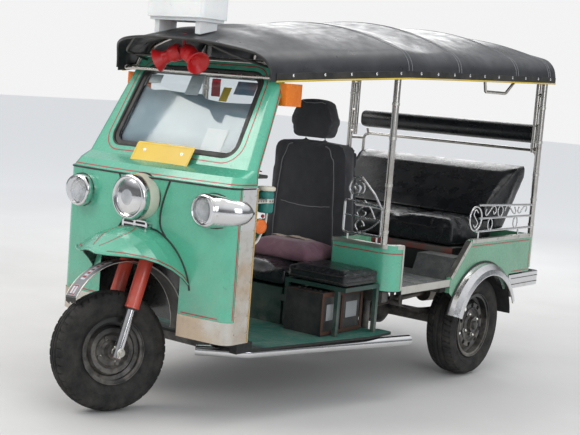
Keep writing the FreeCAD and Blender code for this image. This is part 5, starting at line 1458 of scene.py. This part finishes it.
def scrolls():
    """Bent rod ornaments inside the rails and clamps on the posts, left and right alike."""
    for side, hand in SIDES:
        rods = Parts()
        rolled = [coil(t) for t in spaced(0, 1, 40)]
        rods.add(sweep([(side * x, FRONT_PLANE, z) for x, z in rolled], CURL))
        for steps, points in FRONT_CURLS:
            rods.add(sweep(smooth_line([(side * x, FRONT_PLANE, z) for x, z in points], steps), CURL))
        for steps, points in WALL_CURLS:
            rods.add(sweep(smooth_line([(side * WALL_PLANE, y, z) for y, z in points], steps), CURL))
        for y, z, long, high, count in OVALS:
            oval = [(side * WALL_PLANE, y + long * math.cos(a), z + high * math.sin(a)) for a in turns(count)]
            rods.add(sweep(oval, CURL, None, True))
        rods.make(f"scrolls_{hand}", "chrome", 60)
        clamps = Parts()
        for x, y, heights in CLAMPED_POSTS:
            for z in heights:
                clamps.add(lathe(CLAMP, (side * x, y, z), UP, 24))
        clamps.make(f"pole_clamps_{hand}", "zinc", 40)


scrolls()


# Fork and inner mudguard

RAKE = math.radians(19.5)
REST = math.radians(-20.5)
FRONT_HUB = Vector((0, -1.230, 0.2604))
LEG = 0.094


def steered(shape, raked=True):
    """A shape drawn about the front hub with the wheel straight ahead, put where the steered group stands."""
    verts, faces = shape
    axis = Vector(JOINTS["steering"]["axis"])
    foot = Vector(JOINTS["steering"]["pos_m"])
    turn = Matrix.Rotation(REST, 3, axis)
    lean = Matrix.Rotation(-RAKE if raked else 0.0, 3, "X")
    return [foot + turn @ (lean @ Vector(v) + FRONT_HUB - foot) for v in verts], faces


def fork_details():
    """Chrome lower tubes, dust seals, the sleeves' rolled lips and the axle nuts."""
    tube = [(-0.024, 0.0211), (-0.0245, 0.0216), (0.193, 0.0217), (0.193, 0.0211)]
    seal = [(0.187, 0.0217), (0.188, 0.0275), (0.1945, 0.0300), (0.1945, 0.0217)]
    lips = [[(low, 0.0310), (low, 0.0322), (low + 0.007, 0.0325), (low + 0.009, 0.0310)] for low in (0.196, 0.425)]
    for name, finish, smooth, segments, profiles in (
            ("fork_tubes", "chrome", 60, 40, [tube]), ("fork_seals", "black_rubber", 50, 40, [seal]),
            ("fork_lips", "red_paint", 50, 48, lips)):
        shape = Parts()
        for side, _ in SIDES:
            for profile in profiles:
                shape.add(steered(lathe(profile, (side * LEG, 0, 0), UP, segments)))
        shape.make(name, finish, smooth, "steering")
    nuts = Parts()
    for side, _ in SIDES:
        nuts.add(steered(bolt((side * 0.1228, 0, 0), (side, 0, 0), 0.0125, 0.010)))
        nuts.add(steered(bolt((side * LEG, -0.0205, 0.016), AHEAD, 0.0055, 0.004)))
    nuts.make("axle_nuts", "zinc", 30, "steering")


fork_details()


def circle_through(first, second, third):
    """Centre and radius of the circle through three points."""
    (ax, ay), (bx, by), (cx, cy) = first, second, third
    d = 2 * (ax * (by - cy) + bx * (cy - ay) + cx * (ay - by))
    x = ((ax * ax + ay * ay) * (by - cy) + (bx * bx + by * by) * (cy - ay) + (cx * cx + cy * cy) * (ay - by)) / d
    y = ((ax * ax + ay * ay) * (cx - bx) + (bx * bx + by * by) * (ax - cx) + (cx * cx + cy * cy) * (bx - ax)) / d
    return x, y, math.hypot(ax - x, ay - y)


GUARD_FRONT = (-0.172, 0.236)
GUARD_BACK = (0.328, 0.072)
GUARD_Y, GUARD_Z, GUARD_R = circle_through(GUARD_FRONT, (0.046, 0.382), GUARD_BACK)
GUARD_START = math.atan2(GUARD_FRONT[1] - GUARD_Z, GUARD_FRONT[0] - GUARD_Y)
GUARD_END = math.atan2(GUARD_BACK[1] - GUARD_Z, GUARD_BACK[0] - GUARD_Y)


def on_guard(parts, x, start, end, lift, steps, section):
    """Lay a section round the inner mudguard between two angles about its middle."""
    out = [Vector((0, math.cos(a), math.sin(a))) for a in spaced(start, end, steps)]
    line = [Vector((x, GUARD_Y, GUARD_Z)) + way * (GUARD_R + lift) for way in out]
    parts.add(steered(sweep(line, section, out), False))


def mark(parts, x, near_end, far_end, steps, width, lift=0.0026, thick=0.0004):
    """A plain mark on the guard; its ends are in centimetres round it from the front edge."""
    start, end = (GUARD_START - 0.01 / GUARD_R * place for place in (near_end, far_end))
    on_guard(parts, x, start, end, lift, steps, strip(width, thick))


def guard_details():
    """Rolled edges on the inner mudguard, a grey face on its front part with plain marks, and a short fringe."""
    edges = Parts()
    for side, _ in SIDES:
        on_guard(edges, side * 0.056, GUARD_START, GUARD_END, -0.0005, 60, disc(0.0032, 8))
    edges.make("guard_edges", "zinc", 60, "steering")
    face = Parts()
    on_guard(face, 0.0, GUARD_START, GUARD_START - 0.85, 0.0008, 30, strip(0.106, 0.0008))
    face.make("guard_face", "grey_sheet", 50, "steering")
    pale = Parts()
    red = Parts()
    mark(pale, -0.004, 1, 6, 6, 0.062, 0.0018, 0.0005)
    mark(pale, 0.0, 9, 24, 18, 0.040, 0.0018, 0.0005)
    for x in (-0.031, 0.023, -0.004):
        mark(red, x, 1.4, 5.6, 6, 0.005)
    for place in (1.4, 5.6):
        mark(red, -0.004, place - 0.25, place + 0.25, 2, 0.058)
    for k in range(6):
        mark(red, 0.0, 10 + 2.4 * k, 11.2 + 2.4 * k, 3, 0.032 - 0.003 * k)
    pale.make("guard_marks_pale", "sticker", 50, "steering")
    red.make("guard_marks_red", "stripe_red", 50, "steering")
    fringe = Parts()
    y, z = GUARD_FRONT
    for k in range(8):
        x = -0.047 + 0.0134 * k
        fringe.add(steered(bevel_box((x - 0.005, y - 0.0012, z - 0.020 - 0.004 * (k % 3)),
                                     (x + 0.005, y + 0.0012, z + 0.006), 0.0008), False))
    fringe.make("guard_fringe", "black_rubber", 40, "steering")


guard_details()


# Jar, reflector and hose behind the left steel strip

JAR = Vector((0.472, -0.846, 0))
REFLECTOR = (0.499, -0.902, 0.850)
REFLECTOR_WAY = (1, -0.25, 0)
STRAP_Z = 0.957
DOT = [(0, 0), (0, 0.0032), (0.0006, 0.003), (0.0006, 0)]


def jar_group():
    """Coolant bottle with a knurled lid and a punched strap, round reflector, tap knob and overflow hose."""
    profile = [(0.905, 0), (0.905, 0.029), (0.910, 0.0335), (0.940, 0.034), (0.944, 0.0325), (0.969, 0.0325),
               (0.973, 0.034), (0.986, 0.034), (0.994, 0.031), (0.999, 0.027), (0.999, 0)]
    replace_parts(turned("coolant_bottle", "teal_jar", 50, profile, JAR, UP), "coolant_jar")
    profile = [(0.999, 0), (0.999, 0.036), (1.001, 0.038), (1.012, 0.038), (1.0155, 0.035), (1.016, 0)]
    lid = Parts().add(lathe(profile, JAR, UP, 56))
    for a in turns(28):
        out = Vector((math.cos(a), math.sin(a), 0))
        rib = [JAR + out * 0.0378 + Vector((0, 0, z)) for z in (1.001, 1.0065, 1.012)]
        lid.add(sweep(rib, disc(0.0011, 6), out))
    lid.make("coolant_lid", "cream", 50)
    strap = Parts().add(lathe([(0.948, 0.0332), (0.948, 0.0352), (0.966, 0.0352), (0.966, 0.0332)], JAR, UP, 48))
    strap.add(bevel_box((0.496, -0.9355, 0.948), (0.4985, -0.852, 0.966), 0.0006))
    strap.add(bevel_box((0.478, -0.9355, 0.838), (0.4945, -0.895, 0.862), 0.002))
    strap.make("jar_strap", "zinc", 40)
    # Dark discs stand for the strap's punched holes: painted shade in the holes
    holes = Parts()
    for degrees in range(-150, 111, 26):
        out = Vector((math.cos(math.radians(degrees)), math.sin(math.radians(degrees)), 0))
        holes.add(lathe(DOT, JAR + out * 0.0351 + Vector((0, 0, STRAP_Z)), out, 12))
    for y in spaced(-0.925, -0.877, 3):
        holes.add(lathe(DOT, (0.4985, y, STRAP_Z), OUTWARD, 12))
    holes.make("strap_hole_shade", "battery_case", 40)
    profile = [(-0.006, 0), (-0.006, 0.0285), (0.001, 0.0285), (0.004, 0.024), (0.0055, 0.013), (0.006, 0)]
    turned("side_reflector", "orange", 50, profile, REFLECTOR, REFLECTOR_WAY, 40)
    profile = [(-0.008, 0.027), (-0.008, 0.0312), (0.002, 0.0312), (0.003, 0.0285), (-0.004, 0.0283)]
    turned("reflector_rim", "orange", 50, profile, REFLECTOR, REFLECTOR_WAY, 40)
    profile = [(-0.007, 0), (-0.007, 0.004), (-0.002, 0.0075), (0.004, 0.0075), (0.008, 0.004), (0.009, 0)]
    turned("tap_knob", "red_rubber", 50, profile, (0.492, -0.884, 0.893), (0.6, -0.5, 0.3), 20)
    hose_line()


def hose_line():
    """Pale overflow hose from the jar's foot to the steel strip: one smooth spline with a round section."""
    route = [(0.478, -0.842, 0.904), (0.479, -0.843, 0.880), (0.481, -0.850, 0.850), (0.482, -0.876, 0.815),
             (0.489, -0.900, 0.790), (0.492, -0.925, 0.777), (0.492, -0.935, 0.773)]
    curve = bpy.data.curves.new("jar_hose", "CURVE")
    curve.dimensions = "3D"
    spline = curve.splines.new("NURBS")
    spline.points.add(len(route) - 1)
    for point, place in zip(spline.points, route):
        point.co = (*place, 1)
    spline.order_u = 3
    spline.use_endpoint_u = True
    spline.resolution_u = 10
    hose = linked("jar_hose", curve)
    centreline = [v.co.copy() for v in bpy.data.meshes.new_from_object(hose).vertices]
    length = sum((b - a).length for a, b in zip(centreline, centreline[1:]))
    curve.bevel_depth = 0.0055
    curve.bevel_resolution = 3
    curve.use_fill_caps = True
    curve.materials.append(LOOKS["pale_cloth"])
    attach(hose, "body")


jar_group()


# Rear wheels, arches and tail

REAR_ARCH = Vector((0, 0.792, 0.251))


def rear_trim(side, hand):
    """Nuts, hub ring, dust cap and valve of one rear wheel, on its outer side."""
    matrix = wheel_frame("rear_wheel_" + hand)
    if (matrix.to_3x3() @ Vector(OUTWARD)).x * side < 0:
        matrix = matrix @ Matrix.Rotation(math.pi, 4, "Z")
    ring = (on_axle([(0.044, 0.084), (0.050, 0.086), (0.052, 0.090), (0.050, 0.094), (0.044, 0.096)], 56),
            on_axle([(0.060, 0), (0.060, 0.024), (0.072, 0.0235), (0.080, 0.019), (0.083, 0)], 32),
            sweep([(0.030, 0.0, 0.128), (0.048, 0.0, 0.127), (0.062, 0.0, 0.124)], disc(0.003, 8)))
    wheel_trim("rear_wheel_" + hand, matrix, 0.041, 0.062, (0.0125, 0.0095, 0.009, 0.005), ring, "black_wheel", 40)


for side, hand in SIDES:
    rear_trim(side, hand)


def rear_arches():
    """Black seal between each arch and the body, the rolled outer edge, and a dark flap behind each wheel."""
    seals = Parts()
    edges = Parts()
    flaps = Parts()
    rows = (
        # place across, radius, first and last angle, steps, section
        (seals, 0.6635, 0.3575, 24, 162, 50, disc(0.0055, 8)), (edges, 0.7165, 0.2965, 24, 162, 50, disc(0.0035, 8)),
        (flaps, 0.6125, 0.3485, 8, 58, 30, slab(0.109, 0.005)), (flaps, 0.5595, 0.328, 8, 60, 30, slab(0.003, 0.044)),
    )
    for side, _ in SIDES:
        for parts, x, radius, first, last, steps, section in rows:
            angles = [math.radians(a) for a in spaced(first, last, steps)]
            out = [Vector((0, math.cos(a), math.sin(a))) for a in angles]
            parts.add(sweep([REAR_ARCH + Vector((side * x, 0, 0)) + way * radius for way in out], section, out))
    seals.make("arch_seals", "black_rubber", 60)
    edges.make("arch_edges", "zinc", 60)
    flaps.make("mud_flaps", "battery_case", 50)


rear_arches()


def bumper_ribs():
    """Two pressed grooves round the tail bumper and four bolts in its back."""
    groove = strip(0.0045, 0.0007)
    ribs = Parts()
    for z in (0.4575, 0.4905):
        for side, _ in SIDES:
            ribs.add(sweep([(side * 0.6604, y, z) for y in (1.13, 1.30, 1.445)], groove, (side, 0, 0)))
        ribs.add(sweep([(x, 1.4778, z) for x in (-0.62, 0.0, 0.62)], groove, BEHIND))
    ribs.make("bumper_grooves", "dark_paint", 40)
    bolts = Parts()
    for x in (-0.5, -0.2, 0.2, 0.5):
        bolts.add(bolt((x, 1.4778, 0.474), BEHIND, 0.008, 0.005))
    bolts.make("bumper_bolts", "zinc", 30)


bumper_ribs()


# Bench, floor, batteries and pedals

def bench_details():
    """Worn painted band under the bench's front edge, and ribs across the floor."""
    band = Parts().add(bevel_box((-0.546, 0.6530, 0.640), (0.546, 0.6575, 0.671), 0.0012))
    band.make("bench_band", "worn_band", 40)
    ribs = Parts()
    for y in (0.10, 0.22, 0.34, 0.46):
        ribs.add(sweep([(x, y, 0.531) for x in (-0.60, 0.0, 0.60)], strip(0.006, 0.0012), UP))
    ribs.make("floor_ribs", "zinc", 40)


bench_details()


def battery_tops():
    """Terminals, filler caps and blank labels on the two batteries."""
    terminal = [(0, 0), (0, 0.011), (0.009, 0.010), (0.0095, 0)]
    cap = [(0, 0), (0, 0.009), (0.004, 0.0088), (0.005, 0.004), (0.005, 0)]
    plugs = Parts()
    posts = Parts()
    reds = Parts()
    labels = Parts()
    for y in (-0.356, -0.202):
        for x, group in ((0.335, posts), (0.485, reds)):
            group.add(lathe(terminal, (x, y + 0.045, 0.520), UP, 20))
            group.add(bevel_box((x - 0.016, y + 0.030, 0.5262), (x + 0.016, y + 0.060, 0.5335), 0.0015))
        for x in spaced(0.332, 0.487, 5):
            plugs.add(lathe(cap, (x, y - 0.010, 0.520), UP, 16))
        labels.add(bevel_box((0.5200, y - 0.045, 0.395), (0.5207, y + 0.045, 0.470), 0.0003))
    plugs.make("battery_caps", "battery_case", 40)
    posts.make("battery_posts", "zinc", 40)
    reds.make("battery_red_posts", "red_rubber", 40)
    labels.make("battery_labels", "grey_sheet", 40)


def battery_frame():
    """Rusty hold-down frame over the batteries."""
    bars = Parts()
    for y in (-0.4335, -0.279, -0.1245):
        bars.add(bevel_box((0.5212, y - 0.009, 0.330), (0.5242, y + 0.009, 0.527), 0.0008))
        bars.add(bevel_box((0.300, y - 0.0015, 0.5215), (0.5242, y + 0.0015, 0.5245), 0.0008))
    for low, high in ((0.505, 0.5275), (0.330, 0.346)):
        bars.add(bevel_box((0.5212, -0.4425, low), (0.5246, -0.1155, high), 0.0008))
    bars.make("battery_frame", "rust", 40)


battery_tops()
battery_frame()


def pedals():
    """Brake and clutch pedals with ribbed pads."""
    steel = Parts()
    rubber = Parts()
    for x in (-0.20, 0.20):
        arm = [(x, -0.66, 0.326), (x, -0.69, 0.372), (x, -0.725, 0.402), (x, -0.745, 0.432)]
        steel.add(sweep(smooth_line(arm, 6), disc(0.006, 10)))
        turn = Matrix.Translation((x, -0.748, 0.440)) @ Matrix.Rotation(math.radians(-52), 4, "X")
        rubber.add(bevel_box((-0.034, -0.024, -0.005), (0.034, 0.024, 0.005), 0.0025, turn))
        for low in spaced(-0.0185, 0.013, 3):
            rubber.add(bevel_box((-0.029, low, 0.0045), (0.029, low + 0.005, 0.008), 0.001, turn))
    steel.make("pedal_arms", "zinc", 50)
    rubber.make("pedal_pads", "black_rubber", 40)


pedals()


def strip_finish(name, polished):
    """Stainless sheet: mirror polish high up, brushed and warm low down, with road film."""
    g = Graph(name)
    # The warm tone low down is partly rust and partly a painted orange reflection
    warm = g.mix(g.remap(g.noise(5, 4, 0.6), 0.42, 0.62), (0.62, 0.60, 0.56), (0.56, 0.45, 0.34))
    low = g.remap(g.height(), polished + 0.01, polished - 0.01)
    tone = g.mix(low, (0.66, 0.65, 0.64), warm)
    film = g.remap(g.noise(26, 5, 0.7), 0.5, 0.8, 0, 0.5)
    g.colour(g.mix(film, tone, (0.30, 0.27, 0.23)))
    lines = g.noise(30, 4, 0.6, UPRIGHT)
    g.roughness(g.math("ADD", g.remap(lines, 0.3, 0.7, 0.05, 0.12), g.remap(low, 0, 1, 0.0, 0.13)))
    g.bump(lines, 0.05, 0.0006)
    g.bump(g.noise(6, 3), 0.2, 0.004)
    g.constant(Metallic=1.0)
    return g.material


NODES["cab_cladding"].data.materials[0] = strip_finish("strip_steel", 0.84)
NODES["seat_box"].data.materials[0] = paint("engine_cover", (0.016, 0.055, 0.042), (0.022, 0.04, 0.034),
                                            0.35, 0.2, 0.62, 0.5)


def shade_film():
    """Pale plastic sunshade inside the windscreen, with a sagging top edge."""
    low, _, up, out = screen_frame()

    def place(level, x):
        corner = 0.036 * max(0.0, 1 - (x + 0.352) / 0.09) ** 2
        step = 0.030 / (1 + math.exp((x - 0.04) / 0.008))
        z = level or 0.282 + corner + step + 0.003 * math.sin(24 * x)
        wave = 0.0022 * math.sin(44 * x + 6 * z)
        return low + Vector((x, 0, 0)) + up * z - out * (0.0105 + wave)
    grid_sheet("sun_shade", "pale_film", (0.035, 0.12, 0.20, None), spaced(-0.352, 0.352, 43), place, 0.0012)


shade_film()


# Stage, lights and camera

def ground():
    """Pale floor that fades to near white away from the vehicle."""
    mesh = bpy.data.meshes.new("floor")
    reach = 40
    corners = [(-reach, -reach, -0.001), (reach, -reach, -0.001), (reach, reach, -0.001), (-reach, reach, -0.001)]
    mesh.from_pydata(corners, [], [[0, 1, 2, 3]])
    floor = linked("floor", mesh)
    g = Graph("floor")
    far = g.add("ShaderNodeVectorMath", operation="LENGTH")
    g.link(g.place, far.inputs[0])
    near_tone = g.mix(g.remap(g.noise(1.4, 4), 0.3, 0.7), (0.68, 0.67, 0.655), (0.62, 0.61, 0.595))
    g.colour(g.mix(g.remap(far.outputs["Value"], 3.0, 9.0), near_tone, (0.95, 0.95, 0.95)))
    g.roughness(g.remap(g.noise(20, 3), 0.3, 0.7, 0.8, 0.95))
    g.bump(g.noise(140, 4), 0.15, 0.001)
    mesh.materials.append(g.material)


def room():
    """Pale world: near white to the camera, a room that darkens downwards in mirrors, even light elsewhere."""
    world = bpy.data.worlds.new("studio")
    bpy.context.scene.world = world
    world.use_nodes = True
    tree = world.node_tree
    path = tree.nodes.new("ShaderNodeLightPath")
    way = tree.nodes.new("ShaderNodeTexCoord")
    parts = tree.nodes.new("ShaderNodeSeparateXYZ")
    tree.links.new(way.outputs["Generated"], parts.inputs[0])
    ramp = tree.nodes.new("ShaderNodeValToRGB")
    stops = ramp.color_ramp.elements
    stops[0].position = 0.0
    stops[0].color = (0.13, 0.14, 0.15, 1)
    stops[1].position = 0.85
    stops[1].color = (1.0, 1.0, 1.0, 1)
    for position, level in ((0.10, 0.2), (0.26, 0.15), (0.40, 0.52), (0.6, 0.85)):
        stops.new(position).color = (level, level * 1.02, level * 1.05, 1)
    tree.links.new(parts.outputs["Z"], ramp.inputs["Fac"])

    def chosen(factor, first, second):
        mix = tree.nodes.new("ShaderNodeMix")
        mix.data_type = "RGBA"
        for socket, value in (("A", first), ("B", second)):
            if isinstance(value, tuple):
                mix.inputs[socket].default_value = value
            else:
                tree.links.new(value, mix.inputs[socket])
        tree.links.new(factor, mix.inputs["Factor"])
        return mix.outputs["Result"]
    mirrored_room = chosen(path.outputs["Is Glossy Ray"], (0.74, 0.76, 0.79, 1), ramp.outputs["Color"])
    through = chosen(path.outputs["Is Transmission Ray"], mirrored_room, (0.64, 0.68, 0.72, 1))
    seen = chosen(path.outputs["Is Camera Ray"], through, (0.90, 0.90, 0.90, 1))
    tree.links.new(seen, tree.nodes["Background"].inputs["Color"])


LAMPS = (
    # name, place, aimed at, width, height, watts, colour
    ("key", (-3.2, -4.6, 5.4), (0, -0.4, 0.8), 3.4, 3.4, 172, (1.0, 0.97, 0.92)),
    ("fill", (5.4, -2.6, 2.8), (0, 0, 0.8), 3.0, 3.0, 75, (0.93, 0.96, 1.0)),
    ("top", (0.6, 0.8, 5.8), (0, 0, 1), 4.0, 4.0, 105, (1.0, 0.99, 0.97)),
    ("back", (-3.0, 5.0, 3.4), (0, 0.5, 0.9), 2.6, 2.6, 70, (1.0, 1.0, 1.0)),
)


def lights():
    for name, place, aim, width, height, watts, colour in LAMPS:
        data = bpy.data.lights.new(name, "AREA")
        data.shape = "RECTANGLE"
        data.size = width
        data.size_y = height
        data.energy = watts
        data.color = colour
        lamp = linked(name, data)
        lamp.location = place
        lamp.rotation_euler = (Vector(aim) - Vector(place)).to_track_quat("-Z", "Y").to_euler()


def camera():
    """The photograph's viewpoint: place in metres, yaw, pitch and roll in degrees."""
    yaw, pitch, roll = (math.radians(a) for a in (-37.1412, -6.2361, -4.4975))
    ahead = Vector((math.sin(yaw) * math.cos(pitch), math.cos(yaw) * math.cos(pitch), math.sin(pitch)))
    right = Vector((math.cos(yaw), -math.sin(yaw), 0))
    down = ahead.cross(right)
    right_rolled = right * math.cos(roll) + down * math.sin(roll)
    down_rolled = down * math.cos(roll) - right * math.sin(roll)
    data = bpy.data.cameras.new("camera")
    data.sensor_width = 36
    data.lens = 36 * 1212.98 / 580
    cam = linked("camera", data)
    turn = Matrix((right_rolled, -down_rolled, -ahead)).transposed().to_4x4()
    cam.matrix_world = Matrix.Translation((3.6518, -4.8648, 1.4516)) @ turn
    bpy.context.scene.camera = cam


ground()
room()
lights()
camera()
bpy.context.scene.view_settings.view_transform = "Standard"
